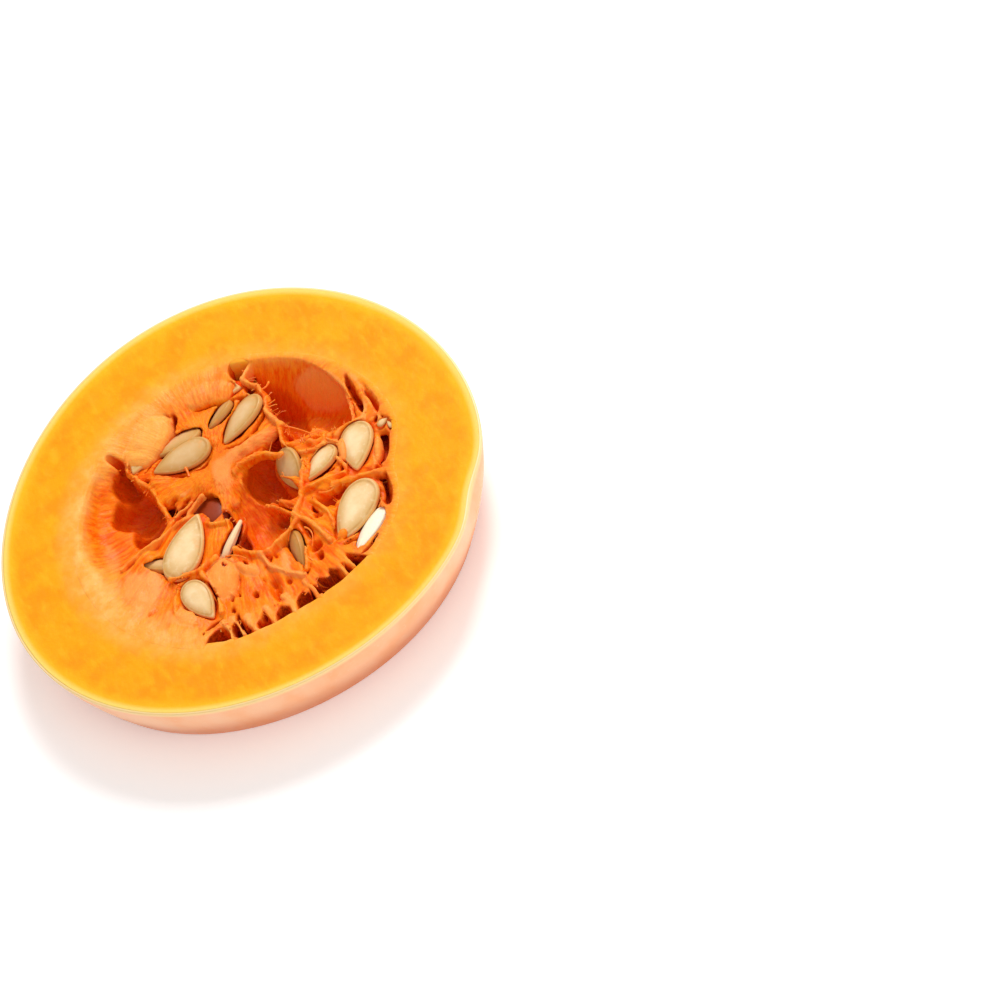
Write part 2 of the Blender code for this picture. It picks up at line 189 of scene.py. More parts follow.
def ring_faces(rows, columns):
    """The faces of a band whose rows close on themselves, both round and across."""
    index = np.arange(rows * columns).reshape(rows, columns)
    ahead = np.roll(index, -1, axis=1)
    corners = [index, ahead, np.roll(ahead, -1, axis=0), np.roll(index, -1, axis=0)]
    return np.stack(corners, axis=-1).reshape(-1, 4)


def flesh_mesh():
    """The ring of flesh, from the cavity up over the front cut, down under the skin and back."""
    wall = [(0, z) for z in np.linspace(0.7, THICKNESS - 0.9, WALL_ROWS)]
    lip = [(inset, THICKNESS - down) for inset, down in LIP]
    front = [(inset, THICKNESS) for inset in np.linspace(0.9, 18.0, FACE_ROWS)]
    side = [(None, z) for z in np.linspace(THICKNESS, 0, SIDE_ROWS)]
    back = [(inset, 0) for inset in np.linspace(15.0, 0.6, BACK_ROWS)]
    profile = wall + lip + front + side + back
    turn = np.arange(ROUND_STEPS) * 360 / ROUND_STEPS
    rings = []
    for inset, z in profile:
        height = np.full(ROUND_STEPS, float(z))
        inner = cavity_radius(turn, height)
        outer = outer_radius(turn, height) - SKIN_THICKNESS * FLESH_UNDER_SKIN
        width = FRONT_WIDTH if z > THICKNESS / 2 else BACK_WIDTH
        radius = outer if inset is None else inner + (outer - inner) * inset / width
        angle = np.radians(turn)
        rings.append(np.stack([radius * np.cos(angle), radius * np.sin(angle), height], -1))
    flat = np.array(rings).reshape(-1, 3)
    radius = np.hypot(flat[:, 0], flat[:, 1])
    around = np.degrees(np.arctan2(flat[:, 1], flat[:, 0]))
    rim = outer_radius(around, flat[:, 2]) - radius
    core = radius - cavity_radius(around, flat[:, 2])
    knife = lattice_noise(flat * [0.35, 0.35, 0.2], 3) * KNIFE_WAVE
    knife = knife + lattice_noise(flat * 1.1, 4) * KNIFE_GRAIN
    on_front = ease((flat[:, 2] - THICKNESS + 0.3) / 0.3)
    flat[:, 2] += (knife - KNIFE_WAVE) * on_front * ease(rim / 3)
    ragged = lattice_noise(flat * [0.5, 0.5, 0.2], 5) * RAGGED
    ragged = ragged * ease(1 - core / 2.5) * ease(flat[:, 2] / 3)
    flat[:, 0] += ragged * np.cos(np.radians(around))
    flat[:, 1] += ragged * np.sin(np.radians(around))
    halo = halo_at(around) * ease(1 - core / 7.0)
    return plain_mesh("flesh", flat, ring_faces(len(profile), ROUND_STEPS), rim=rim, halo=halo)


def paint(red, green, blue):
    """A colour seen on a screen, as the renderer's linear light."""
    return [(channel / 255) ** 2.2 for channel in (red, green, blue)] + [1.0]


def add(tree, kind, inputs=None, **settings):
    """Add a node, set its properties, and fill its inputs with values or other sockets."""
    made = tree.nodes.new(kind)
    for key, value in settings.items():
        setattr(made, key, value)
    for key, value in (inputs or {}).items():
        if isinstance(value, bpy.types.NodeSocket):
            tree.links.new(value, made.inputs[key])
        else:
            made.inputs[key].default_value = value
    return made


def read(tree, name, output="Fac"):
    """What a piece's own mesh says at each point."""
    return add(tree, "ShaderNodeAttribute", attribute_name=name).outputs[output]


def mix(tree, share, first, second):
    return add(tree, "ShaderNodeMixRGB", {"Fac": share, "Color1": first, "Color2": second}).outputs["Color"]


def reach(tree, value, low, high, start=0.0, end=1.0):
    """A value's smooth passage from low to high, as a number from start to end."""
    node = add(tree, "ShaderNodeMapRange", {"Value": value, "From Min": low, "From Max": high,
                                            "To Min": start, "To Max": end},
               interpolation_type="SMOOTHSTEP")
    return node.outputs["Result"]


def layered(tree, colour, layers):
    """Lay colours over one another, each where a value passes from low to high, and by so much."""
    for value, low, high, share, coat in layers:
        colour = mix(tree, reach(tree, value, low, high, 0, share), colour, paint(*coat))
    return colour


def maths(tree, operation, first, second=0.0):
    return add(tree, "ShaderNodeMath", {0: first, 1: second}, operation=operation).outputs[0]


def cloud(tree, place, scale, detail=3.0):
    """A cloudy pattern with so many cells a metre."""
    return add(tree, "ShaderNodeTexNoise", {
        "Vector": place, "Scale": scale, "Detail": detail, "Roughness": 0.55}).outputs["Fac"]


def stretched(tree, place, scale):
    return add(tree, "ShaderNodeMapping", {"Vector": place, "Scale": scale}).outputs["Vector"]


def new_finish(name, settings):
    """A principled material, its tree, its shader and the object's own coordinates."""
    finish = bpy.data.materials.new(name)
    finish.use_nodes = True
    tree = finish.node_tree
    shader = tree.nodes["Principled BSDF"]
    for key, value in settings.items():
        shader.inputs[key].default_value = value
    place = add(tree, "ShaderNodeTexCoord").outputs["Object"]
    return finish, tree, shader, place


def connect(tree, shader, colour, roughness, height, strength, distance):
    """Give a shader its colour, its roughness and a relief too fine for the mesh."""
    relief = add(tree, "ShaderNodeBump", {"Strength": strength, "Distance": distance, "Height": height})
    tree.links.new(colour, shader.inputs["Base Color"])
    tree.links.new(roughness, shader.inputs["Roughness"])
    tree.links.new(relief.outputs["Normal"], shader.inputs["Normal"])


def salmon_tissue(tree, place):
    """The salmon of the tissue round the cavity, and the streaks in it."""
    streaks = cloud(tree, place, 330)
    return mix(tree, reach(tree, streaks, 0.35, 0.7), paint(255, 162, 62), paint(255, 182, 96)), streaks


def dress(piece, finish, slot, *nodes):
    piece.data.materials.clear()
    piece.data.materials.append(finish)
    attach(piece, "root")
    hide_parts(*nodes)


def flesh_finish():
    finish, tree, shader, place = new_finish("flesh", {
        "Subsurface Weight": 0.25, "Subsurface Radius": (1.0, 0.4, 0.1), "Subsurface Scale": 0.002,
        "Specular IOR Level": 0.12})
    rim = read(tree, "rim")
    fine = reach(tree, cloud(tree, stretched(tree, place, (1, 0.45, 1)), 520), 0.45, 0.75, 0, 0.55)
    colour = layered(tree, paint(255, 161, 6), [
        # value, where its coat starts, where it is full, how strong, colour
        (cloud(tree, place, 130), 0.38, 0.66, 1.0, (252, 147, 4))])
    colour = layered(tree, mix(tree, fine, colour, paint(255, 176, 28)), [
        (rim, 5.0, 1.4, 0.7, (254, 188, 34)), (rim, 2.4, 0.9, 0.85, (255, 212, 112))])
    salmon, streaks = salmon_tissue(tree, place)
    halo = maths(tree, "MULTIPLY", read(tree, "halo"), reach(tree, streaks, 0.1, 0.6, 0.75, 1.0))
    grain = maths(tree, "ADD", cloud(tree, place, 900), maths(tree, "MULTIPLY", fine, 0.5))
    dull = reach(tree, cloud(tree, place, 300), 0.3, 0.7, 0.38, 0.52)
    connect(tree, shader, mix(tree, halo, colour, salmon), dull, grain, 0.18, 0.0004)
    return finish


flesh = show(flesh_mesh(), "flesh_cut")
dress(flesh, flesh_finish(), "flesh", "flesh_ring")

# The rind is the bulb's tough skin, under a millimetre thick: peach and waxy outside, cream
# where the knife went through it. It grew as one with the flesh, so nothing fixes it.
BAND_STEP = 0.35
BAND_CORNER = 0.16
BAND_INSET = 0.05
RIND_RULE = {
    "Face Radius": FACE_RADIUS, "Thickness": THICKNESS, "Skin": SKIN_THICKNESS, "Chip": CHIP_WIDTH,
    "Draw In": OUTER_DRAW_IN, "Sway": OUTER_DRAW_SWAY, "Lobe": LOBE_HEIGHT, "Scale": MM,
}


def geometry_tree(name, numbers):
    """A geometry tree with named number inputs, and its two end nodes."""
    tree = bpy.data.node_groups.new(name, "GeometryNodeTree")
    tree.interface.new_socket(name="Geometry", in_out="INPUT", socket_type="NodeSocketGeometry")
    for label, value in numbers.items():
        socket = tree.interface.new_socket(name=label, in_out="INPUT", socket_type="NodeSocketFloat")
        socket.default_value = value
    tree.interface.new_socket(name="Geometry", in_out="OUTPUT", socket_type="NodeSocketGeometry")
    return tree, tree.nodes.new("NodeGroupInput"), tree.nodes.new("NodeGroupOutput")


def grown(tree, carrier, name, finish, numbers):
    """The plain mesh that a geometry tree makes on a carrier object, which is then removed."""
    end = next(node for node in tree.nodes if node.bl_idname == "NodeGroupOutput")
    made = end.inputs[0].links[0].from_socket
    whole = add(tree, "GeometryNodeRealizeInstances", {"Geometry": made})
    dressed = add(tree, "GeometryNodeSetMaterial", {"Geometry": whole.outputs[0], "Material": finish})
    tree.links.new(dressed.outputs[0], end.inputs[0])
    step = carrier.modifiers.new(name, "NODES")
    step.node_group = tree
    for socket in tree.interface.items_tree:
        if socket.in_out == "INPUT" and socket.name in numbers:
            step[socket.identifier] = numbers[socket.name]
    bpy.context.view_layer.update()
    shown = carrier.evaluated_get(bpy.context.evaluated_depsgraph_get())
    mesh = bpy.data.meshes.new_from_object(shown)
    carrier.modifiers.clear()
    bpy.data.objects.remove(carrier, do_unlink=True)
    mesh.name = name
    mesh.shade_smooth()
    return show(mesh, name)


def rind_tree():
    """A thin upright band swept round a circle, then moved by the rule of the outline."""
    tree, start, end = geometry_tree("turned_rind", RIND_RULE)
    value = start.outputs
    half_skin = maths(tree, "MULTIPLY", value["Skin"], 0.5)
    half_height = maths(tree, "MULTIPLY", value["Thickness"], 0.5)
    path = add(tree, "GeometryNodeCurvePrimitiveCircle", {
        "Resolution": ROUND_STEPS, "Radius": maths(tree, "SUBTRACT", value["Face Radius"], half_skin)})
    outline = add(tree, "GeometryNodeCurvePrimitiveQuadrilateral", {
        "Width": value["Skin"], "Height": maths(tree, "SUBTRACT", value["Thickness"], 2 * BAND_INSET)})
    rounded = add(tree, "GeometryNodeFilletCurve", {"Curve": outline.outputs[0], "Radius": BAND_CORNER})
    stepped = add(tree, "GeometryNodeResampleCurve", {"Curve": rounded.outputs[0], "Length": BAND_STEP},
                  mode="LENGTH")
    band = add(tree, "GeometryNodeCurveToMesh", {
        "Curve": path.outputs[0], "Profile Curve": stepped.outputs[0]})
    where = add(tree, "ShaderNodeSeparateXYZ", {0: tree.nodes.new("GeometryNodeInputPosition").outputs[0]})
    x, y, z = where.outputs
    height = maths(tree, "ADD", z, maths(tree, "ADD", half_height, BAND_INSET))
    angle = maths(tree, "ARCTAN2", y, x)
    far_squared = maths(tree, "ADD", maths(tree, "MULTIPLY", x, x), maths(tree, "MULTIPLY", y, y))
    radius = maths(tree, "SQRT", far_squared)
    share_up = maths(tree, "DIVIDE", height, value["Thickness"])
    below = maths(tree, "MAXIMUM", maths(tree, "SUBTRACT", 1.0, share_up))
    drawn = maths(tree, "POWER", below, DRAW_CURVE)
    sway = maths(tree, "MULTIPLY", maths(tree, "COSINE", angle), value["Sway"])
    inward = maths(tree, "MULTIPLY", maths(tree, "ADD", value["Draw In"], sway), drawn)
    from_lobe = maths(tree, "SUBTRACT", angle, math.radians(LOBE_TURN))
    lobe_angle = maths(tree, "MULTIPLY", from_lobe, LOBE_COUNT)
    lobes = maths(tree, "MULTIPLY", maths(tree, "COSINE", lobe_angle), value["Lobe"])
    from_chip = maths(tree, "SUBTRACT", angle, math.radians(CHIP_TURN))
    away = maths(tree, "DIVIDE", from_chip, math.radians(CHIP_SPREAD))
    squared = maths(tree, "MULTIPLY", away, away)
    bell = maths(tree, "POWER", math.e, maths(tree, "MULTIPLY", squared, -1.0))
    near_top = maths(tree, "SUBTRACT", value["Thickness"], height)
    share_down = maths(tree, "DIVIDE", near_top, CHIP_DEPTH)
    chip_height = maths(tree, "MAXIMUM", maths(tree, "SUBTRACT", 1.0, share_down))
    chip = maths(tree, "MULTIPLY", maths(tree, "MULTIPLY", bell, chip_height), value["Chip"])
    lobed = maths(tree, "ADD", maths(tree, "SUBTRACT", radius, inward), lobes)
    moved = maths(tree, "SUBTRACT", lobed, chip)
    spread = maths(tree, "DIVIDE", maths(tree, "MULTIPLY", moved, value["Scale"]), radius)
    centre = outline_centre() * MM
    place = add(tree, "ShaderNodeCombineXYZ", {
        "X": maths(tree, "SUBTRACT", maths(tree, "MULTIPLY", x, spread), centre[0]),
        "Y": maths(tree, "SUBTRACT", maths(tree, "MULTIPLY", y, spread), centre[1]),
        "Z": maths(tree, "MULTIPLY", height, value["Scale"])})
    shaped = add(tree, "GeometryNodeSetPosition", {
        "Geometry": band.outputs[0], "Position": place.outputs[0]})
    tree.links.new(shaped.outputs[0], end.inputs[0])
    return tree


def rind_finish():
    finish, tree, shader, place = new_finish("rind", {
        "Subsurface Weight": 0.12, "Subsurface Radius": (1.0, 0.45, 0.25), "Subsurface Scale": 0.0012,
        "Specular IOR Level": 0.45, "Coat Weight": 0.12, "Coat Roughness": 0.35})
    height = add(tree, "ShaderNodeSeparateXYZ", {0: place}).outputs["Z"]
    blotch = cloud(tree, stretched(tree, place, (1, 1, 0.5)), 90)
    colour = layered(tree, paint(255, 190, 142), [
        (blotch, 0.35, 0.7, 1.0, (254, 172, 114)),
        (cloud(tree, place, 1400, detail=2), 0.6, 0.75, 0.3, (255, 208, 170)),
        # painted shade: the rind is painted brown towards its lower edge, where less light reaches it
        (height, 0.012, 0.001, 0.9, (216, 120, 58)),
        (height, 0.0154, 0.0168, 1.0, (255, 214, 148))])
    dull = reach(tree, blotch, 0.3, 0.7, 0.34, 0.46)
    connect(tree, shader, colour, dull, cloud(tree, place, 700), 0.15, 0.0003)
    return finish


skin = rind_finish()
carrier = show(bpy.data.meshes.new("rind_carrier"), "rind_carrier")
rind = grown(rind_tree(), carrier, "rind_band", skin, RIND_RULE)
dress(rind, skin, "rind", "rind")

# The seeds are flat drops with a hard cream coat and a raised rim, each held by the pulp that
# fed it. Some lie bare, some stand edge-on, and some are still under a membrane.
SEED_THICKNESS = 2.3
FLAKE_SHARE = 0.55
SEED_SIDES = 36
SEED_CROWN = -0.12
SEED_SLIMMING = 0.22
SEED_POINT = 1.08
SEED_TAPER = 0.4
SEED_FULLEST = 0.815
SEED_SECTION = [
    # share of the way out from the crown, height there
    (0.3, 0.98), (0.52, 0.9), (0.7, 0.77), (0.81, 0.63), (0.86, 0.575), (0.9, 0.58),
    (0.95, 0.5), (0.985, 0.3), (1.0, 0.0),
]
BARE_SEEDS = [
    # x, y, depth, turn of the tip, length, width, roll, pitch, painted light and cover
    (-5.8, 21.3, 1.9, 171, 14.6, 7.2, -8, 4, 0.34),
    (-5.2, 26.4, 2.8, 176, 12.4, 6.6, 26, 0, 0.4),
    (10.0, 21.6, 1.9, 207, 13.8, 7.8, 20, 4, 0.3),
    (6.2, 27.0, 3.2, 207, 9.0, 5.0, 40, 0, 0.45),
    (28.6, -4.0, 1.6, 246, 13.4, 8.6, 10, 0, 0.0),
    (20.7, -19.7, 1.8, 218, 16.6, 9.3, 0, 5, 0.0),
    (21.0, -27.0, 2.2, 214, 13.4, 5.7, 22, 0, -0.34),
    (13.5, 2.2, 3.7, 268, 12.5, 7.2, 38, 4, 0.35),
    (19.8, -2.2, 1.9, 208, 10.2, 6.2, 15, 0, 0.15),
    (-15.6, -2.3, 1.6, 43, 17.3, 9.4, 0, -6, 0.0),
    (-6.0, -6.9, 2.5, 40, 10.8, 3.6, -62, -3, -0.12),
    (-7.0, 5.2, 4.2, 125, 10.0, 7.6, 0, 0, 1.0),
    (-10.8, 30.6, 2.2, 221, 16.4, 8.4, 4, -1, 0.12),
    (8.0, 34.0, 2.4, -35, 14.0, 7.4, -6, 0, 0.0),
    (-19.2, -17.6, 1.9, 276, 12.4, 6.8, 8, 4, 0.0),
    (-22.8, -1.2, 3.3, 141, 11.6, 4.2, 20, -2, 0.4),
    (5.2, -19.6, 3.4, 259, 12.0, 4.8, 50, 0, 0.6),
    (36.3, -2.7, 0.7, 8, 2.8, 1.5, 34, 0, 0.1),
    (37.4, -4.3, 0.8, 96, 2.4, 1.1, -30, 0, 0.1),
]
COVERED_SEEDS = [
    # the same for those that a membrane still wraps
    (-12.4, -12.8, 3.2, 250, 11.0, 6.8, -12, 0, 0.3),
]
BACK_SEED_COUNT = 9
BACK_SEED_DEPTH = 1.7
BACK_SEED_CLEARANCE = 13.5
BACK_SEED_REACH = 24.0
BACK_SEED_LENGTH = 15.5
BACK_SEED_WIDTH = 8.0


def back_seeds():
    """Seeds of the back cut, spread by a seeded draw that keeps their middles apart."""
    draw = random.Random(7)
    places = []
    while len(places) < BACK_SEED_COUNT:
        x = draw.uniform(-BACK_SEED_REACH, BACK_SEED_REACH)
        y = draw.uniform(-BACK_SEED_REACH, BACK_SEED_REACH)
        inside = math.hypot(x, y) < BACK_SEED_REACH
        apart = all(math.hypot(x - a, y - b) > BACK_SEED_CLEARANCE for a, b, _ in places)
        if inside and apart:
            places.append((x, y, draw.uniform(0, 360)))
    depth = THICKNESS - BACK_SEED_DEPTH
    return [(x, y, depth, turn, BACK_SEED_LENGTH, BACK_SEED_WIDTH, 0, 0, 0.1) for x, y, turn in places]


SEEDS = BARE_SEEDS + COVERED_SEEDS + back_seeds()


def seed_lie(turn, roll, pitch):
    """The turn of a seed whose tip points along +X: round its length, up or down, then aside."""
    return (Matrix.Rotation(math.radians(turn), 3, "Z") @ Matrix.Rotation(math.radians(pitch), 3, "Y")
            @ Matrix.Rotation(math.radians(roll), 3, "X"))


def seed_outline(along_turn):
    """A drop of length 2 and width 2, blunt at -X and pointed at +X."""
    taper = ((SEED_POINT - np.cos(along_turn)) / (1 + SEED_POINT)) ** SEED_TAPER
    return np.cos(along_turn), np.sin(along_turn) * taper / SEED_FULLEST


def seed_model():
    """One seed of unit half sizes: a domed plate, a groove and a raised rim, then the underside."""
    turns = np.arange(SEED_SIDES) * 2 * math.pi / SEED_SIDES
    along, across = seed_outline(turns)
    rings = SEED_SECTION + [(share, -high) for share, high in reversed(SEED_SECTION[:-1])]
    places = [(SEED_CROWN, 0, 1.0)]
    edge = [0.0]
    for share, high in rings:
        slim = 1 - SEED_SLIMMING * along * share
        for a, b, s in zip(along, across, slim):
            places.append((SEED_CROWN * (1 - share) + a * share, b * share, high * s))
            edge.append(share)
    places.append((SEED_CROWN, 0, -1.0))
    edge.append(0.0)
    faces = []
    for k in range(SEED_SIDES):
        after = (k + 1) % SEED_SIDES
        faces.append((0, 1 + k, 1 + after))
        for ring in range(len(rings) - 1):
            low = 1 + ring * SEED_SIDES
            faces.append((low + k, low + SEED_SIDES + k, low + SEED_SIDES + after, low + after))
        last = 1 + (len(rings) - 1) * SEED_SIDES
        faces.append((len(places) - 1, last + after, last + k))
    mesh = bpy.data.meshes.new("seed_model")
    mesh.from_pydata(places, [], faces)
    write_values(mesh, "edge", edge)
    return mesh


def seed_carrier():
    """One point a seed, which holds how the seed lies, its half sizes and the shade, light and membrane
    cover painted on it.
    """
    mesh = bpy.data.meshes.new("seed_carrier")
    spots = [(x, y, THICKNESS - depth) for x, y, depth, *_ in SEEDS]
    mesh.from_pydata(((np.array(spots) - outline_centre()) * MM).tolist(), [], [])
    lies = []
    sizes = []
    for _, _, _, turn, length, width, roll, pitch, _ in SEEDS:
        lies.extend(seed_lie(turn, roll, pitch).to_euler())
        sizes.extend((length * MM / 2, width * MM / 2, min(SEED_THICKNESS, width * FLAKE_SHARE) * MM / 2))
    write_values(mesh, "lie", lies, "FLOAT_VECTOR", "vector")
    write_values(mesh, "size", sizes, "FLOAT_VECTOR", "vector")
    write_values(mesh, "painted_light_and_cover", [row[8] for row in SEEDS])
    return mesh


def held(tree, label, kind):
    """What a carrier holds for each of its points under a name."""
    holder = add(tree, "GeometryNodeInputNamedAttribute", {"Name": label}, data_type=kind)
    return holder.outputs["Attribute"]


def seed_tree(model):
    tree, start, end = geometry_tree("sown_seeds", {"Size": 1.0})
    shape = add(tree, "GeometryNodeObjectInfo", {"Object": model})
    turned = add(tree, "FunctionNodeEulerToRotation", {"Euler": held(tree, "lie", "FLOAT_VECTOR")})
    scaled = add(tree, "ShaderNodeVectorMath", {
        0: held(tree, "size", "FLOAT_VECTOR"), "Scale": start.outputs["Size"]}, operation="SCALE")
    points = add(tree, "GeometryNodeMeshToPoints", {"Mesh": start.outputs["Geometry"]})
    sown = add(tree, "GeometryNodeInstanceOnPoints", {
        "Points": points.outputs[0], "Instance": shape.outputs["Geometry"],
        "Rotation": turned.outputs[0], "Scale": scaled.outputs[0]})
    tree.links.new(sown.outputs[0], end.inputs[0])
    return tree


def seed_finish():
    finish, tree, shader, place = new_finish("seed_coat", {
        "Subsurface Weight": 0.15, "Subsurface Radius": (1.0, 0.6, 0.3), "Subsurface Scale": 0.001,
        "Specular IOR Level": 0.25})
    edge = read(tree, "edge")
    painted_light_and_cover = read(tree, "painted_light_and_cover")
    colour = layered(tree, paint(252, 220, 170), [
        (cloud(tree, place, 260), 0.3, 0.7, 1.0, (240, 202, 146)),
        # painted shade: the coat is painted olive-tan towards its edge, where the dome turns from the light
        (edge, 0.3, 0.9, 0.85, (214, 166, 96)),
        (cloud(tree, place, 900), 0.5, 0.75, 0.3, (253, 230, 190))])
    # painted shade: a patchy brown line along the groove inside the rim
    groove = maths(tree, "MULTIPLY", reach(tree, edge, 0.76, 0.86), reach(tree, edge, 0.93, 0.88))
    patchy = reach(tree, cloud(tree, place, 340), 0.35, 0.6, 0.15, 0.6)
    colour = mix(tree, maths(tree, "MULTIPLY", groove, patchy), colour, paint(184, 122, 50))
    colour = layered(tree, colour, [
        (edge, 0.93, 1.0, 0.7, (240, 176, 100)),
        # painted shade and painted orange light from the pulp on the deep seeds, with the membrane over
        # some; below nothing the coat is painted paler, as if more brightly lit
        (painted_light_and_cover, 0.0, 0.6, 0.8, (188, 128, 52)),
        (painted_light_and_cover, 0.55, 1.0, 0.95, (146, 46, 0)),
        (painted_light_and_cover, 0.0, -0.3, 1.0, (255, 244, 214))])
    near_edge = reach(tree, edge, 0.3, 1.0, 0, 0.5)
    juice = maths(tree, "MULTIPLY", reach(tree, cloud(tree, place, 420), 0.58, 0.72), near_edge)
    colour = mix(tree, juice, colour, paint(240, 150, 70))
    dull = reach(tree, cloud(tree, place, 500), 0.3, 0.7, 0.3, 0.48)
    connect(tree, shader, colour, dull, cloud(tree, place, 1300), 0.12, 0.0002)
    return finish


coat = seed_finish()
model = show(seed_model(), "seed_model")
seeds = grown(seed_tree(model), show(seed_carrier(), "seed_carrier"), "seeds", coat, {"Size": 1.0})
bpy.data.objects.remove(model, do_unlink=True)
dress(seeds, coat, "seed", "pulp_and_seeds")

# The pulp is soft wet tissue that has torn: membranes over and round the seeds, webs and
# strands between deep pockets, and short bridges to the flesh. It is modelled as one lump on a
# grid, from which pockets are taken and to which webs are added, and its skin is then meshed.
CELL = 0.34
OVERLAP = 1.6
GRID_REACH = 41.6
GRID_SPARE = 0.6
SIGHT_SLOPE = 0.885
GRID_AXES = [np.arange(low, high, CELL, np.float32) for low, high in
             ((-GRID_REACH, GRID_REACH), (-GRID_REACH, GRID_REACH), (-GRID_SPARE, THICKNESS + GRID_SPARE))]
GRID_LOW = np.array([axis[0] for axis in GRID_AXES])
GRID_COUNT = np.array([len(axis) for axis in GRID_AXES])
X, Y, Z = np.meshgrid(*GRID_AXES, indexing="ij")
TURN = np.degrees(np.arctan2(Y[:, :, 0], X[:, :, 0]))[:, :, None]
RADIUS = np.hypot(X[:, :, 0], Y[:, :, 0])[:, :, None]
# the tint of the tissue near each form: its own paler or redder colour, with painted light, and painted
# shade in pockets, gaps, slits and pits
TINT_AND_SHADE = np.zeros(X.shape, np.float32)


def joined(first, second, blend):
    """The greater of two depths inside, with a soft valley where they meet."""
    share = np.clip(0.5 + 0.5 * (first - second) / blend, 0, 1)
    return first * share + second * (1 - share) + blend * share * (1 - share)


def taken(first, second, blend):
    """What is left of the first form once the second is scooped from it."""
    return -joined(-first, second, blend)


def grid_noise(cell, seed):
    """Smooth noise over the whole grid, worked out on every second place and spread between."""
    coarse = np.stack([X, Y, Z], -1)[::2, ::2, ::2] / cell
    full = lattice_noise(coarse, seed)
    for axis in range(3):
        after = np.roll(full, -1, axis)
        full = np.stack([full, (full + after) / 2], axis + 1).reshape(
            [size * 2 if index == axis else size for index, size in enumerate(full.shape)])
    return full[:GRID_COUNT[0], :GRID_COUNT[1], :GRID_COUNT[2]]


TEARS = [
    # how far the tissue is torn out of line, the size of a tear, seed
    (0.5, 4.4, 20), (0.24, 1.8, 30), (0.14, 0.95, 35),
]


def torn_axis(axis, number):
    for far, cell, seed in TEARS:
        axis = axis + far * grid_noise(cell, seed + number)
    return axis


TORN_X, TORN_Y, TORN_Z = (torn_axis(axis, number) for number, axis in enumerate((X, Y, Z)))


def window(low, high, margin=1.5):
    """The part of the grid between two corners."""
    first = np.maximum(((np.array(low) - margin - GRID_LOW) / CELL).astype(int), 0)
    last = np.minimum(((np.array(high) + margin - GRID_LOW) / CELL).astype(int) + 2, GRID_COUNT)
    return tuple(slice(a, b) for a, b in zip(first, last))


def round_window(centre, reach):
    centre = np.array(centre)
    return window(centre - reach, centre + reach)


def egg(part, centre, halves, lie, torn=True, narrowing=0.0):
    """How far inside an egg-shaped form each place of a part of the grid lies."""
    axes = (TORN_X, TORN_Y, TORN_Z) if torn else (X, Y, Z)
    away = [axis[part] - offset for axis, offset in zip(axes, centre)]
    turned = [sum(lie[row][column] * away[row] for row in range(3)) for column in range(3)]
    slim = 1 - narrowing * np.clip(turned[0] / halves[0], -1, 1)
    scaled = [turned[0] / halves[0], turned[1] / (halves[1] * slim), turned[2] / (halves[2] * slim)]
    near = np.sqrt(sum(value ** 2 for value in scaled)) + 1e-6
    steep = np.sqrt(sum((value / half) ** 2 for value, half in zip(scaled, halves))) + 1e-6
    return near * (1 - near) / steep


def bent(start, middle, end, count):
    """Points along the smooth curve that passes through the middle place half way."""
    start, middle, end = (np.array(place, float) for place in (start, middle, end))
    control = middle * 2 - (start + end) / 2
    share = np.linspace(0, 1, count)[:, None]
    return start * (1 - share) ** 2 + control * 2 * share * (1 - share) + end * share ** 2


def thread(part, points, halves, hang=0.0):
    """How far inside a strand each place lies, or inside the thin sheet that hangs from it."""
    best = np.full(X[part].shape, -9.0, np.float32)
    x, y, z = TORN_X[part], TORN_Y[part], TORN_Z[part]
    for a, b, wide_a, wide_b in zip(points[:-1], points[1:], halves[:-1], halves[1:]):
        line = b - a
        along = ((x - a[0]) * line[0] + (y - a[1]) * line[1] + (z - a[2]) * line[2]) / (line @ line)
        along = np.clip(along, 0, 1)
        wide = wide_a + (wide_b - wide_a) * along
        flat = (x - a[0] - along * line[0]) ** 2 + (y - a[1] - along * line[1]) ** 2
        rise = z - a[2] - along * line[2]
        lower = np.clip(rise, -hang, 0) if hang else 0.0
        best = np.maximum(best, wide - np.sqrt(flat + (rise - lower) ** 2))
    return best


def wavy(x, y, cell, seed):
    """Noise over the plane."""
    return lattice_noise(np.stack([x / cell, y / cell, np.full_like(x, 0.5)], -1), seed)


LAP_THICKNESS = 0.05
LAP_DRAPE = 0.1
BROAD_WAVE = 0.6
NARROW_WAVE = 0.2
RIPPLE = 0.07
BACK_WAVES = 0.7
FRONT_SINK = 1.75
FRONT_SINK_START = 0.6
FRONT_SINK_WIDTH = 6.5
BACK_START = 0.12
BACK_SINK = 0.95
BACK_SINK_WIDTH = 4.5


def pulp_bed():
    """The lump before it is torn: it laps over the flesh's lip and sinks gently within it."""
    wall = cavity_radius(TURN, Z) + OVERLAP
    inset = cavity_radius(TURN, THICKNESS) - RADIUS
    x, y = X[:, :, :1], Y[:, :, :1]
    waves = wavy(x, y, 5.5, 41) * BROAD_WAVE + wavy(x, y, 2.6, 42) * NARROW_WAVE
    sunk = (FRONT_SINK + waves) * ease((inset - FRONT_SINK_START) / FRONT_SINK_WIDTH)
    front = LAP_THICKNESS + LAP_DRAPE * np.clip(-inset, 0, 2) + sunk + RIPPLE * wavy(x, y, 1.7, 43)
    back_inset = cavity_radius(TURN, 0.0) - RADIUS
    back = BACK_START + (BACK_SINK + BACK_WAVES * waves) * ease(back_inset / BACK_SINK_WIDTH)
    return np.minimum(np.minimum(wall - RADIUS, THICKNESS - front - Z), Z - back)


def turned_flat(turn):
    return Matrix.Rotation(math.radians(turn), 3, "Z")


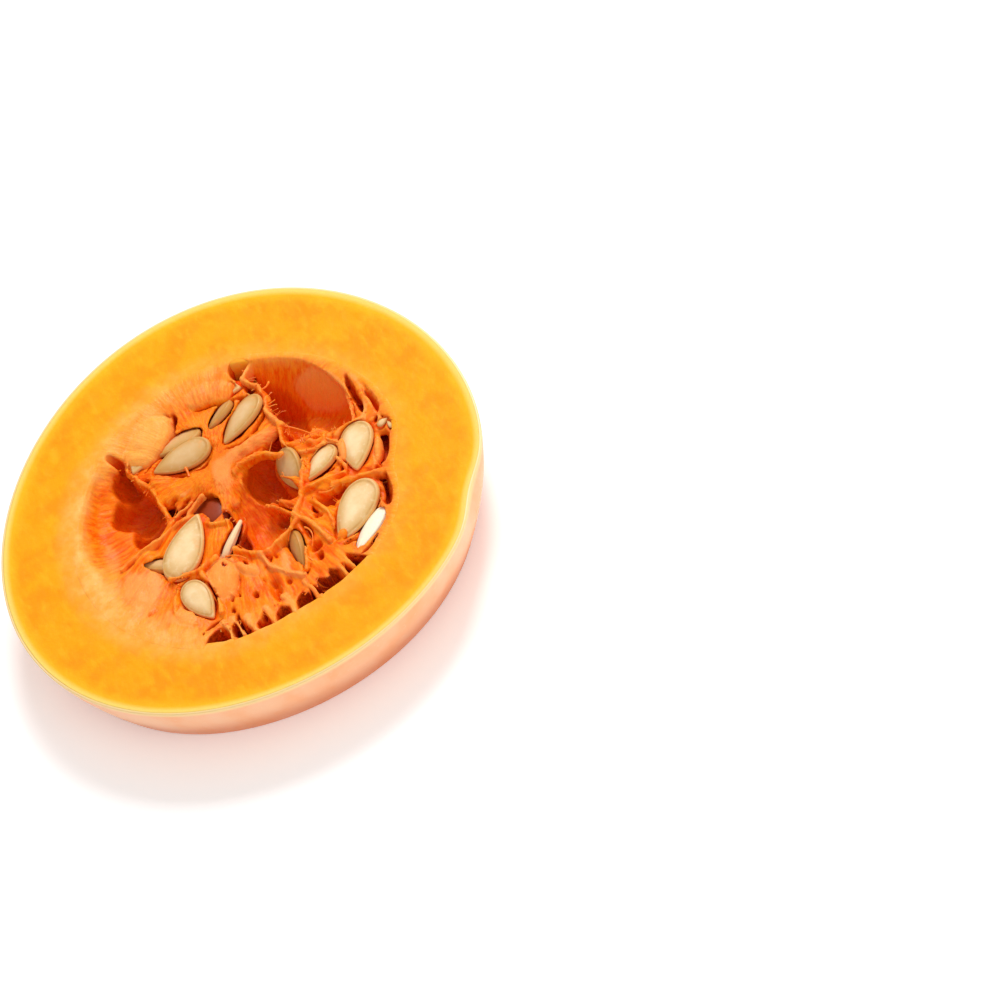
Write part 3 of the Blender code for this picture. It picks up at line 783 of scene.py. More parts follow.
BOWLS = [
    # x, y, depth, half lengths along, across and down, turn, tint and painted shade, how soft the rim is
    (28.4, 9.4, 1.0, 7.2, 4.6, 7.6, -80, 0.0, 1.2),
    (-25.2, 14.6, -1.6, 15.6, 10.6, 7.4, 80, 0.0, 2.6),
    (-19.6, 18.8, 6.8, 7.0, 5.2, 6.4, 8, -0.6, 1.8),
    (-18.4, 10.4, 6.6, 6.4, 4.4, 6.6, 4, -0.6, 1.8),
    (-19.0, 26.0, 5.0, 4.4, 3.0, 5.2, 20, -0.6, 1.6),
    (1.6, -6.4, 0.2, 12.2, 6.2, 9.0, 86, -0.1, 1.2),
]
POCKETS = [
    # x, y, depth, half lengths along, across and down, turn, tint and painted shade
    (23.6, 19.6, 2.6, 15.8, 7.4, 10.2, -64, 0.0),
    (19.6, 22.4, 6.0, 12.0, 4.4, 8.2, -84, -0.7),
    (19.6, 12.4, 5.4, 5.6, 3.8, 8.2, -75, -0.7),
    (-18.8, 30.4, 3.0, 3.8, 1.2, 3.4, -62, -0.5),
    (7.6, 5.2, 4.8, 5.8, 4.9, 7.4, 80, -0.7),
    (9.6, -2.2, 5.4, 5.2, 2.7, 6.6, -62, -0.7),
    (6.6, -7.4, 4.8, 4.2, 1.7, 5.2, -62, -0.6),
    (-7.0, 4.5, 3.4, 4.8, 3.7, 5.2, 84, -0.5),
    (-11.6, 8.0, 2.6, 2.2, 1.1, 3.6, 14, -0.8),
    (-11.6, 6.0, 2.6, 2.0, 1.2, 3.6, 10, -0.8),
    (-13.2, 4.6, 2.2, 1.2, 0.6, 2.6, 80, -0.6),
    (-4.4, -1.6, 3.0, 2.6, 1.1, 4.2, 80, -0.8),
    (-4.3, -7.4, 3.2, 4.2, 2.2, 4.8, 76, -0.9),
    (13.1, 10.6, 3.0, 3.6, 2.2, 5.2, 52, -0.8),
    (17.6, 9.8, 4.0, 3.0, 1.6, 5.2, -50, -0.7),
    (29.0, -18.6, 1.4, 6.4, 1.9, 5.2, 80, -0.6),
    (34.0, -6.6, 1.2, 7.2, 2.5, 4.6, 68, -0.5),
    (18.0, -11.6, 1.6, 4.0, 2.4, 4.2, -20, -0.65),
    (16.8, -13.6, 1.6, 2.6, 1.3, 3.4, -70, -0.6),
    (-28.4, -11.6, 0.8, 2.4, 0.6, 2.6, 40, -0.7),
    (9.4, -16.6, 1.6, 3.4, 1.0, 3.6, 88, -0.5),
    (8.9, -22.0, 1.6, 1.7, 1.4, 3.0, 0, -0.5),
    (8.6, -25.4, 1.6, 1.6, 0.9, 2.6, 80, -0.5),
    (4.8, -26.6, 1.4, 2.0, 0.9, 3.4, 60, -0.8),
    (3.4, -20.4, 2.4, 5.6, 1.5, 5.6, 76, -0.6),
    (-10.2, -19.2, 1.2, 3.2, 1.4, 2.8, 66, -0.5),
    (-3.2, -24.4, 2.2, 6.2, 1.3, 3.2, 80, -0.1),
    (37.2, 6.4, 0.6, 4.8, 0.9, 3.4, 86, -0.4),
    (34.4, 8.6, 1.8, 6.6, 0.9, 4.6, 86, -0.7),
    (37.4, 5.6, 1.2, 6.0, 0.7, 3.6, 88, -0.6),
    (2.4, 16.8, 0.6, 0.7, 0.6, 1.8, 0, -0.6),
]
NEAR_GAPS = [
    # turn, half width, reach inwards, how far its middle stands in from the rim, painted shade
    (238.0, 2.9, 5.4, 0.6, -1.0), (243.6, 1.5, 3.8, 4.0, -1.0), (247.4, 1.9, 5.0, 0.2, -1.0),
    (254.6, 2.6, 5.4, -0.4, -1.0), (262.4, 2.6, 5.2, -0.4, -1.0), (271.6, 2.7, 5.4, -0.4, -1.0),
    (281.0, 2.6, 6.6, -0.4, -1.0), (285.6, 2.2, 6.4, -0.4, -1.0), (290.0, 1.1, 5.0, 0.2, -1.0),
    (294.4, 1.6, 6.0, 0.0, -1.0), (276.4, 1.1, 3.0, 3.6, -1.0), (65.0, 2.6, 3.3, 2.8, -0.72),
]
GAP_DEPTH = 10.0
GAP_START = 0.4
GAP_NARROWING = 0.6
SLITS = [
    # start, middle and end as seen, with depths, half width, how deep the slit goes
    ((-3.2, 32.4, 0.6), (-6.8, 26.6, 0.4), (-14.6, 23.2, 0.6), 0.5, 4.5),
    ((-3.8, 30.6, 0.6), (-2.9, 31.6, 0.5), (-2.4, 32.8, 0.6), 0.8, 4.5),
    ((1.6, 31.0, 0.4), (7.5, 28.9, 0.4), (14.2, 26.3, 0.6), 0.3, 3.0),
    ((-13.4, 20.4, 1.2), (-8.6, 16.4, 1.0), (-4.6, 15.0, 1.2), 0.55, 5.0),
    ((-5.6, 15.0, 1.2), (-3.2, 14.8, 1.0), (-0.6, 16.0, 1.2), 0.55, 5.0),
    ((8.0, 22.9, 1.0), (12.0, 24.4, 0.8), (15.2, 26.4, 0.8), 0.4, 3.5),
    ((9.8, 15.6, 1.0), (13.4, 16.8, 0.8), (15.8, 20.6, 0.8), 0.45, 4.0),
    ((3.4, 16.2, 1.0), (6.4, 14.6, 1.0), (9.0, 15.0, 1.0), 0.4, 3.5),
    ((11.4, 27.2, 0.6), (12.4, 26.8, 0.5), (13.2, 26.2, 0.6), 0.5, 3.5),
    ((-21.8, -13.0, 1.0), (-19.0, -12.6, 0.8), (-16.0, -14.4, 1.0), 0.9, 4.5),
    ((-15.8, -14.6, 1.0), (-15.4, -18.0, 1.0), (-15.8, -22.0, 1.0), 0.35, 3.0),
    ((14.2, -27.6, 1.0), (17.4, -28.0, 0.8), (20.4, -26.8, 0.8), 0.6, 4.5),
    ((16.6, -33.2, 0.5), (19.6, -32.6, 0.4), (23.0, -30.4, 0.4), 0.4, 3.5),
    ((19.4, -6.0, 1.0), (20.6, -6.6, 0.8), (21.8, -6.4, 0.8), 0.35, 3.0),
    ((22.8, -9.0, 1.0), (23.0, -8.2, 0.8), (23.4, -7.2, 0.8), 0.4, 3.0),
    ((-30.8, -14.8, 0.5), (-30.4, -14.4, 0.4), (-30.0, -14.2, 0.5), 0.25, 1.6),
    ((-21.6, -27.6, 0.8), (-19.6, -26.6, 0.6), (-16.8, -26.2, 0.8), 0.45, 3.5),
    ((-22.8, -28.8, 0.6), (-22.4, -28.2, 0.5), (-22.2, -27.4, 0.6), 0.3, 2.4),
    ((-10.3, -12.4, 0.8), (-10.4, -13.6, 0.7), (-9.6, -14.4, 0.8), 0.35, 3.0),
    ((-6.4, -14.6, 0.8), (-6.3, -15.8, 0.8), (-5.9, -17.2, 0.8), 0.35, 3.0),
    ((13.2, -12.0, 0.8), (12.9, -13.4, 0.7), (13.4, -15.0, 0.8), 0.35, 2.6),
    ((2.6, 10.0, 1.0), (6.0, 10.1, 0.9), (9.6, 10.0, 1.0), 0.36, 4.0),
    ((10.8, 0.6, 1.6), (12.4, -1.0, 1.7), (14.0, -2.8, 1.8), 0.9, 1.2),
]
WEBS = [
    # start, middle and end as seen, with depths, half thickness, how far the sheet hangs, tint and painted
    # shade
    ((-17.3, 24.4, 2.0), (-15.5, 14.4, 1.5), (-15.6, 4.4, 1.8), 0.5, 8.0, 0.1),
    ((-17.3, 24.6, 1.8), (-16.7, 27.0, 1.3), (-15.4, 29.4, 0.9), 0.45, 3.0, 0.2),
    ((14.6, 30.0, 1.0), (16.5, 25.4, 0.9), (15.9, 20.4, 1.0), 0.45, 6.0, 0.3),
    ((14.6, 30.0, 1.0), (16.6, 31.4, 0.8), (19.6, 33.4, 0.6), 0.45, 4.0, 0.5),
    ((15.9, 20.4, 1.0), (15.9, 16.0, 1.0), (16.6, 12.4, 1.4), 0.55, 7.0, 0.5),
    ((16.4, 12.6, 1.4), (15.5, 9.0, 1.2), (15.4, 4.4, 1.4), 0.4, 4.5, 0.2),
    ((-30.5, 1.2, 1.6), (-22.0, 2.6, 1.3), (-12.2, 3.3, 1.3), 0.45, 4.0, 0.3),
    ((2.4, 7.6, 1.6), (8.8, 8.5, 1.0), (13.6, 4.4, 1.3), 0.65, 2.0, 0.1),
    ((13.4, 4.6, 1.3), (16.2, 1.4, 1.1), (15.0, -3.4, 1.3), 0.55, 3.0, 0.2),
    ((15.2, -3.2, 1.3), (12.6, -8.0, 1.1), (9.0, -12.4, 1.3), 0.65, 3.5, 0.3),
    ((4.6, -5.6, 4.4), (6.6, -8.8, 3.4), (8.8, -12.4, 1.8), 0.4, 2.5, 0.2),
    ((15.2, 4.8, 1.3), (18.0, 1.8, 1.1), (22.6, 0.4, 1.1), 0.4, 2.0, 0.3),
    ((17.0, 5.6, 2.0), (20.6, 4.4, 1.8), (24.4, 1.4, 1.2), 0.35, 3.0, 0.1),
    ((21.0, 1.8, 1.4), (26.0, 2.0, 1.1), (33.0, 0.4, 1.1), 0.5, 3.0, 0.2),
    ((-6.6, -11.6, 1.4), (-3.6, -15.2, 1.1), (-0.6, -17.4, 1.0), 0.7, 3.0, 0.1),
    ((-0.6, -17.4, 1.0), (4.0, -15.9, 1.1), (8.8, -13.8, 1.2), 0.55, 3.0, 0.3),
    ((-2.4, -16.6, 1.1), (-1.0, -23.0, 1.2), (3.6, -29.2, 1.6), 0.5, 2.0, 0.6),
    ((9.0, -12.6, 1.2), (11.4, -18.2, 0.9), (12.6, -24.6, 1.2), 0.5, 2.6, 0.3),
    ((6.6, -15.4, 1.6), (6.9, -22.0, 1.4), (4.8, -28.4, 1.8), 0.4, 2.4, 0.0),
    ((-22.0, -9.6, 1.3), (-17.5, -11.2, 1.0), (-11.2, -11.2, 1.1), 0.5, 2.0, 0.0),
    ((19.6, -11.4, 1.2), (25.4, -13.2, 0.9), (30.4, -15.8, 0.9), 0.65, 2.0, 0.0),
    ((22.8, 0.8, 1.0), (23.4, -4.2, 0.8), (23.8, -9.4, 1.1), 0.5, 2.0, 0.4),
    ((12.6, -8.2, 1.2), (17.6, -8.6, 0.9), (22.8, -10.2, 1.1), 0.5, 2.0, 0.1),
    ((36.4, 13.0, 0.8), (36.0, 6.6, 0.8), (32.4, -0.2, 1.1), 0.42, 4.0, 0.9),
    ((33.4, 13.0, 3.0), (32.4, 6.0, 2.6), (30.2, 0.2, 2.0), 0.45, 5.0, 0.4),
    ((38.8, 7.6, 0.4), (38.2, 2.4, 0.5), (36.2, -2.0, 0.6), 0.35, 3.0, 0.5),
    ((-14.0, 5.3, 1.3), (-11.6, 6.1, 1.2), (-9.2, 6.7, 1.4), 0.32, 0.8, 0.4),
    ((-11.6, 3.2, 1.3), (-9.7, 5.4, 1.1), (-6.4, 6.8, 1.4), 0.36, 1.0, 0.4),
    ((-9.8, -0.6, 1.3), (-7.4, -2.4, 1.1), (-5.0, -3.4, 1.2), 0.45, 5.0, -0.1),
    ((-5.0, -3.4, 1.2), (-5.3, -5.2, 1.2), (-6.0, -7.0, 1.4), 0.45, 4.0, -0.1),
    ((-15.9, -12.6, 1.3), (-15.3, -18.0, 0.9), (-16.2, -25.4, 1.3), 0.5, 2.0, 0.2),
    ((-22.2, -13.0, 1.3), (-25.0, -18.6, 1.3), (-22.4, -24.8, 1.4), 0.5, 2.0, 0.0),
    ((13.6, -11.6, 1.4), (15.4, -16.4, 1.0), (15.0, -22.4, 1.4), 0.5, 2.0, 0.0),
    ((-17.6, -28.0, 2.0), (-17.0, -31.0, 1.0), (-17.6, -33.8, 0.6), 0.36, 6.0, 0.8),
    ((-15.4, -28.8, 2.0), (-14.6, -31.4, 1.0), (-15.0, -34.8, 0.6), 0.3, 6.0, 0.8),
    ((-12.0, -31.0, 1.9), (-12.4, -33.4, 1.0), (-11.6, -36.0, 0.6), 0.4, 6.0, 0.9),
    ((-8.0, -31.4, 1.9), (-7.2, -33.8, 1.0), (-7.4, -36.8, 0.6), 0.38, 6.0, 0.7),
    ((-3.0, -31.4, 1.9), (-2.0, -34.0, 1.0), (-2.4, -37.0, 0.6), 0.5, 6.0, 0.9),
    ((2.8, -31.2, 1.9), (3.6, -34.0, 1.1), (3.8, -37.0, 0.8), 0.55, 6.0, 0.4),
    ((11.0, -31.2, 1.9), (11.2, -33.4, 1.0), (11.6, -36.0, 0.7), 0.4, 6.0, 0.2),
    ((13.0, -30.4, 1.9), (13.2, -32.8, 1.0), (13.6, -35.2, 0.7), 0.4, 6.0, 0.2),
]
DOMES = [
    # x and y as seen, depth, half lengths along, across and down, turn, tint and painted shade
    (-12.4, 17.4, 3.4, 3.2, 2.6, 2.6, 40, 0.2),
    (-14.0, 18.4, 4.6, 2.4, 2.4, 4.2, 40, 0.1),
    (20.6, 3.6, 2.2, 1.8, 0.7, 1.8, -50, 0.1),
    (23.6, 2.6, 2.0, 1.5, 0.8, 1.6, 60, 0.2),
    (27.0, 2.2, 1.8, 1.6, 0.7, 1.6, 20, 0.4),
    (16.6, 22.6, 2.6, 1.0, 2.0, 1.6, 30, 0.2),
    (19.4, -8.6, 3.2, 4.8, 2.4, 2.4, 200, 0.0),
    (-25.8, -0.6, 3.2, 5.0, 2.8, 2.2, 215, 0.1),
    (-8.0, 12.2, 3.4, 8.2, 3.2, 2.8, -8, 0.05),
    (8.6, 12.8, 3.0, 7.0, 1.9, 2.2, 2, 0.5),
    (-8.6, -6.2, 3.4, 5.0, 3.4, 2.5, 60, -0.1),
    (-0.6, 8.0, 3.6, 7.6, 2.6, 2.2, 84, 0.5),
    (-3.5, 5.0, 5.2, 6.0, 1.6, 2.4, 84, 0.0),
    (0.4, -24.4, 4.6, 8.4, 5.4, 2.8, 90, 0.1),
    (-8.6, -25.6, 4.2, 6.5, 4.2, 2.7, 80, 0.1),
    (-29.6, -7.6, 4.2, 9.4, 5.8, 3.2, 66, 0.75),
    (-24.6, -21.0, 4.4, 7.4, 5.4, 3.2, 120, 0.6),
    (14.2, -19.6, 3.8, 6.4, 2.8, 2.6, 64, -0.1),
    (-6.5, -17.6, 1.9, 3.0, 1.1, 1.2, 112, 1.0),
    (25.0, -1.2, 1.9, 2.8, 1.0, 1.1, 120, 1.0),
]
WEB_THINNESS = 0.78
VEILS = [
    # the same for the thin sheets that lap over a bare seed
    (-23.4, -20.8, 2.2, 3.4, 1.9, 1.5, 96, 1.2),
    (25.6, -3.2, 2.0, 3.4, 1.0, 1.3, 72, 0.8),
    (32.2, -9.0, 2.0, 3.4, 0.9, 1.3, 62, 1.2),
    (-10.4, 31.4, 2.5, 7.5, 5.6, 2.5, 222, 1.45),
    (6.3, 34.3, 2.5, 6.8, 4.6, 2.5, -33, 0.35),
    (-12.4, -16.0, 2.9, 5.8, 3.8, 2.4, 252, 1.2),
    (16.2, -3.4, 1.9, 2.4, 0.8, 1.2, 60, 0.2),
    (15.4, -24.6, 1.8, 1.6, 1.0, 1.1, 40, 0.2),
    (2.2, 19.4, 2.0, 1.4, 1.2, 1.1, 60, 0.2),
]
PATCHES = [
    # x and y as seen, half lengths along and across, turn, tint and painted light: where the tissue is
    # paler or redder, partly its own colour, partly painted light on lit walls and painted shade on shaded
    # ones
    (-10.4, -21.6, 2.8, 1.2, 66, -0.8), (-31.0, 5.0, 5.0, 2.0, 80, 0.5), (30.6, 17.6, 5.4, 1.6, -66, 0.7),
    (14.4, -27.0, 2.2, 1.0, -20, -0.6), (-36.0, -4.0, 5.0, 2.0, 80, 0.5), (-10.0, 10.4, 3.4, 1.0, 4, 0.7),
    (3.0, 12.4, 4.0, 1.2, 20, 0.6), (-2.0, -27.0, 4.0, 1.0, 84, -0.5), (1.6, -22.6, 4.4, 1.0, 80, 0.7),
    (18.4, -7.6, 3.0, 1.2, -10, -0.3), (12.2, -15.0, 2.0, 3.4, 0, -0.2), (-7.6, -5.0, 3.4, 2.2, 60, -0.1),
    (-21.0, -2.0, 4.0, 1.6, 40, -0.1), (-13.6, 34.0, 3.6, 1.6, 40, -0.2), (22.4, 24.0, 8.0, 2.6, -60, 0.0),
    (4.6, -4.6, 9.0, 3.2, -62, -0.4), (-8.0, 13.0, 7.0, 2.6, -10, -0.15), (28.4, 14.0, 8.0, 4.6, -66, 1.1),
    (0.0, -7.0, 3.4, 3.4, 0, -0.6), (0.5, 10.5, 3.2, 2.4, 80, 0.75),
]
PIT_ZONES = [
    # x, y, reach, count
    (18.0, -8.0, 11.0, 40), (-2.0, -26.0, 12.0, 26), (-12.0, 10.0, 6.0, 8),
]


def raised(place):
    """A place given by x, y and depth, with its height in the last number instead."""
    return np.array([place[0], place[1], THICKNESS - place[2]])


def seen(place):
    """A place read on the cut along the photograph's line of sight, moved back by its depth."""
    return raised((place[0], place[1] + SIGHT_SLOPE * place[2], place[2]))


def tint_and_shade_near(part, shape, tint_and_shade, fade=1.0):
    """Tint the tissue near a form; a high number also paints light there, a low one paints shade."""
    near = ease((shape + 0.9 * fade) / fade)
    TINT_AND_SHADE[part] += (tint_and_shade - TINT_AND_SHADE[part]) * near


def tint_and_shade_patch(x, y, along, across, turn, tint_and_shade):
    """Tint a soft patch of the front, whatever its depth; a high number also paints light there, a low one
    paints shade.
    """
    angle = math.radians(turn)
    away_x, away_y = X - x, Y - SIGHT_SLOPE * (THICKNESS - Z) - y
    first = (away_x * math.cos(angle) + away_y * math.sin(angle)) / along
    second = (away_y * math.cos(angle) - away_x * math.sin(angle)) / across
    share = ease(1.4 - np.sqrt(first ** 2 + second ** 2))
    np.copyto(TINT_AND_SHADE, TINT_AND_SHADE + (tint_and_shade - TINT_AND_SHADE) * share)


def scoop(lump, centre, halves, lie, tint_and_shade=None, blend=0.6, torn=True, narrowing=0.0):
    part = round_window(centre, max(halves))
    shape = egg(part, centre, halves, lie, torn, narrowing)
    lump[part] = taken(lump[part], shape, blend)
    # painted shade: the tissue round a pocket is painted darker red by its negative tint
    if tint_and_shade is not None:
        tint_and_shade_near(part, shape, tint_and_shade, max(1.0, blend))


def swell(lump, centre, halves, lie, blend, narrowing=0.0):
    part = round_window(centre, max(halves))
    shape = egg(part, centre, halves, lie, narrowing=narrowing)
    lump[part] = joined(lump[part], shape, blend)
    return part, shape


def string(lump, points, halves, hang, tint_and_shade):
    """Add a strand, or a sheet whose top edge it is."""
    widest = max(halves)
    part = window(points.min(0) - widest - [0, 0, hang], points.max(0) + widest)
    shape = thread(part, points, halves, hang)
    lump[part] = joined(lump[part], shape, 0.4)
    tint_and_shade_near(part, shape, tint_and_shade)


def slit(lump, points, halves, depth):
    """Cut a narrow slit whose top edge is a curve."""
    widest = max(halves)
    part = window(points.min(0) - widest - [0, 0, depth], points.max(0) + widest)
    shape = thread(part, points, halves, depth)
    lump[part] = taken(lump[part], shape, 0.25)
    # painted shade: the tissue round the slit is painted darkest red
    tint_and_shade_near(part, shape - 0.5, -1.0)


LEFT_SIDE = 186
GENTLE_SHORE = 0.8
STEEP_SHORE = 2.6
SHORE_CURVE = 1.15
SHORE_START = 0.12
LINING = 0.55
LINING_SWAY = 0.4
LINING_START = 0.75
LEAST_OVER_BACK = 0.2


def line_cavity(lump):
    """A thin lining of pulp stays on the flesh where a pocket reaches it."""
    inset = cavity_radius(TURN, Z) - RADIUS
    lining = np.minimum(LINING + LINING_SWAY * grid_noise(3.0, 51) - inset, THICKNESS - LINING_START - Z)
    lining = np.minimum(np.minimum(lining, inset + OVERLAP), Z - LEAST_OVER_BACK)
    np.copyto(lump, joined(lump, lining, 0.5))
    away = np.abs((TURN - LEFT_SIDE + 540) % 360 - 180)
    steepness = GENTLE_SHORE + (STEEP_SHORE - GENTLE_SHORE) * ease((away - 20) / 25)
    shore = THICKNESS - SHORE_START - steepness * np.clip(inset, 0, None) ** SHORE_CURVE - Z
    shore = np.minimum(np.minimum(shore, inset + OVERLAP), Z - LEAST_OVER_BACK)
    np.copyto(lump, joined(lump, shore, 0.6))


SEED_KEPT_CLEAR = 0.36
PIT_MARGIN = 0.5
PIT_REACH = 34
PIT_SIZES = ((0.6, 1.8), (0.3, 0.7), (1.2, 2.6))
PIT_DEPTHS = (0.8, 2.2)
PIT_SHADE = -0.4


def free_of_seeds(x, y):
    return all(math.hypot(x - row[0], y - row[1]) > row[4] * SEED_KEPT_CLEAR + PIT_MARGIN for row in SEEDS)


def cut_near_gaps(lump):
    """Gaps between the pulp and the near rim: wide at the flesh, narrowing inwards."""
    for turn, half, inward, inset, tint_and_shade in NEAR_GAPS:
        rim = float(cavity_radius(turn, THICKNESS)) - inset
        angle = math.radians(turn)
        centre = raised((rim * math.cos(angle), rim * math.sin(angle), GAP_START))
        halves = (inward, half, GAP_DEPTH)
        # painted shade: each gap's walls are painted darkest red
        scoop(lump, centre, halves, turned_flat(turn + 180), tint_and_shade, 0.3, narrowing=GAP_NARROWING)


def prick_pits(lump):
    draw = np.random.default_rng(61)
    for middle_x, middle_y, far, count in PIT_ZONES:
        for _ in range(count):
            x, y = middle_x + draw.uniform(-far, far), middle_y + draw.uniform(-far, far)
            halves = [draw.uniform(*sizes) for sizes in PIT_SIZES]
            turn = math.degrees(math.atan2(y - FIBRE_CENTRE[1], x - FIBRE_CENTRE[0]))
            turn = turn + draw.uniform(-25, 25)
            if math.hypot(x, y) < PIT_REACH and free_of_seeds(x, y):
                centre = raised((x, y, draw.uniform(*PIT_DEPTHS)))
                # painted shade: the tissue round each pit is painted darker red
                scoop(lump, centre, halves, turned_flat(turn), PIT_SHADE, 0.3)


LIP_MARGIN = 1.1
LIP_DROP = 1.35
LIP_HALF_HEIGHT = 1.7
SEAT_MARGINS = (0.5, 0.45)
SEAT_SHIFT = (0.0, -0.35, 0.25)
SEAT_HALF_HEIGHT = 1.75


def bed_seed(lump, row):
    """Raise a lip of pulp round a bare seed, and clear the seat that the seed lies in."""
    x, y, depth, turn, length, width, roll, pitch, _ = row
    lie = seed_lie(turn, roll, pitch)
    centre = raised((x, y, depth))
    outward = 1 if depth < THICKNESS / 2 else -1
    lip = centre - np.array([0, 0, LIP_DROP * outward])
    swell(lump, lip, (length / 2 + LIP_MARGIN, width / 2 + LIP_MARGIN, LIP_HALF_HEIGHT), lie, 0.6, 0.2)
    seat = centre + np.array(SEAT_SHIFT) * [1, 1, outward]
    halves = (length / 2 + SEAT_MARGINS[0], width / 2 + SEAT_MARGINS[1], SEAT_HALF_HEIGHT)
    scoop(lump, seat, halves, lie, None, 0.25, torn=False, narrowing=0.3)


FIBRE_CENTRE = (0.5, 13.0)
WEB_STEPS = 12
SLIT_STEPS = 10


def grow(lump, rows, blend):
    """Raise rounded lumps, given by the place of their crowns, and tint them, the tint carrying painted
    light and shade too.
    """
    for x, y, depth, along, across, down, turn, tint_and_shade in rows:
        crown = seen((x, y, depth - down))
        part, shape = swell(lump, crown - [0, 0, down], (along, across, down), turned_flat(turn), blend)
        tint_and_shade_near(part, shape, tint_and_shade)


def torn_lump():
    """The whole lump: pockets out, domes on, slits out, webs on, and the seeds bedded."""
    lump = pulp_bed()
    for x, y, depth, along, across, down, turn, tint_and_shade, *soft in BOWLS + POCKETS:
        scoop(lump, raised((x, y, depth)), (along, across, down), turned_flat(turn), tint_and_shade, *soft)
    line_cavity(lump)
    grow(lump, DOMES, 0.9)
    for patch in PATCHES:
        tint_and_shade_patch(*patch)
    cut_near_gaps(lump)
    prick_pits(lump)
    for start, middle, end, half, hang, tint_and_shade in WEBS:
        points = bent(seen(start), seen(middle), seen(end), WEB_STEPS)
        ends = np.abs(np.linspace(-1, 1, WEB_STEPS)) ** 4
        string(lump, points, list(WEB_THINNESS * half * (1 + 0.6 * ends)), hang, tint_and_shade)
    for row in BARE_SEEDS + back_seeds():
        bed_seed(lump, row)
    grow(lump, VEILS, 0.3)
    for start, middle, end, half, depth in SLITS:
        points = bent(seen(start), seen(middle), seen(end), SLIT_STEPS)
        ends = 1 - 0.75 * np.linspace(-1, 1, SLIT_STEPS) ** 4
        slit(lump, points, list(half * ends), depth)
    return lump


def grid_skin(lump):
    """The surface where a lump on the grid ends: one point a crossed cell, faces between them."""
    inside = lump > 0
    count = [size - 1 for size in lump.shape]
    total = np.zeros(count, np.int8)
    for corner in np.ndindex(2, 2, 2):
        total += inside[tuple(slice(c, c + n) for c, n in zip(corner, count))]
    crossed = (total > 0) & (total < 8)
    cells = np.argwhere(crossed)
    number = np.full(count, -1, np.int64)
    number[crossed] = np.arange(len(cells))
    sums = np.zeros((len(cells), 3))
    hits = np.zeros(len(cells))
    for axis in range(3):
        step = np.eye(3, dtype=int)[axis]
        for side in np.ndindex(2, 2):
            start = np.insert(np.array(side), axis, 0)
            first = lump[tuple((cells + start).T)]
            second = lump[tuple((cells + start + step).T)]
            cut = (first > 0) != (second > 0)
            share = np.where(cut, first / np.where(cut, first - second, 1), 0)
            sums += np.where(cut[:, None], start + share[:, None] * step, 0)
            hits += cut
    places = GRID_LOW + (cells + sums / hits[:, None]) * CELL
    faces = []
    for axis in range(3):
        first = [slice(1, size - 1) for size in lump.shape]
        second = list(first)
        first[axis], second[axis] = slice(0, lump.shape[axis] - 1), slice(1, lump.shape[axis])
        before, after = inside[tuple(first)], inside[tuple(second)]
        edges = np.argwhere(before != after)
        edges += [0 if index == axis else 1 for index in range(3)]
        across, up = [np.eye(3, dtype=int)[index] for index in ((axis + 1) % 3, (axis + 2) % 3)]
        corners = [edges - across - up, edges - up, edges, edges - across]
        square = np.stack([number[tuple(corner.T)] for corner in corners], -1)
        leaving = inside[tuple(edges.T)]
        square[~leaving] = square[~leaving][:, ::-1]
        faces.append(square)
    return places, np.concatenate(faces)


def largest_body(places, faces):
    """Drop the scraps and sealed hollows: only the body with the most points stays."""
    label = np.arange(len(places))
    while True:
        low = label[faces].min(1)
        after = label.copy()
        for column in range(4):
            np.minimum.at(after, faces[:, column], low)
        after = after[after]
        if (after == label).all():
            break
        label = after
    main = np.bincount(label).argmax()
    kept = label == main
    number = np.cumsum(kept) - 1
    return places[kept], number[faces[kept[faces[:, 0]]]]


def sample(values, places):
    """A grid's values between its places."""
    spot = np.clip((places - GRID_LOW) / CELL, 0, GRID_COUNT - 1.001)
    low = spot.astype(int)
    part = spot - low
    total = 0
    for corner in np.ndindex(2, 2, 2):
        share = np.prod(np.where(corner, part, 1 - part), axis=1)
        total = total + share * values[tuple((low + corner).T)]
    return total


def blurred(values, half):
    """The mean of a grid's values over a cube of so many cells each way."""
    for axis in range(3):
        pad = [(half + 1, half) if index == axis else (0, 0) for index in range(3)]
        summed = np.cumsum(np.pad(values, pad, mode="edge"), axis=axis, dtype=np.float32)
        count = 2 * half + 1
        ahead = np.take(summed, range(count, summed.shape[axis]), axis=axis)
        behind = np.take(summed, range(0, summed.shape[axis] - count), axis=axis)
        values = (ahead - behind) / count
    return values


def thinned(mesh, share):
    """The same surface with fewer faces where it is flat."""
    thing = show(mesh, "thinned")
    step = thing.modifiers.new("thin", "DECIMATE")
    step.ratio = share
    bpy.context.view_layer.update()
    shown = thing.evaluated_get(bpy.context.evaluated_depsgraph_get())
    made = bpy.data.meshes.new_from_object(shown)
    bpy.data.objects.remove(thing, do_unlink=True)
    return made


def mesh_numbers(source, name, width):
    """So many numbers a point, read from a mesh."""
    numbers = np.empty(len(source) * width, np.float32)
    source.foreach_get(name, numbers)
    return numbers.reshape(-1, width)


PULP_TRIANGLES = 190000
lump = torn_lump()
places, faces = largest_body(*grid_skin(lump))
rough = plain_mesh("rough_pulp", places, faces)
rough = thinned(rough, min(PULP_TRIANGLES / (2 * len(faces)), 1.0))
points = mesh_numbers(rough.vertices, "co", 3) / MM + outline_centre()
outward = mesh_numbers(rough.vertex_normals, "vector", 3)


def fibre_places(points):
    """Where each point lies along and across the fibres, which run out from a centre."""
    x, y = points[:, 0] - FIBRE_CENTRE[0], points[:, 1] - FIBRE_CENTRE[1]
    far = np.hypot(x, y) + 3.0
    return np.stack([x / far * 24, y / far * 24, far * 0.1 + points[:, 2] * 0.2], -1)


FOLD_HEIGHT = 0.14
FIBRE_HEIGHT = 0.09
LUMP_HEIGHT = 0.08


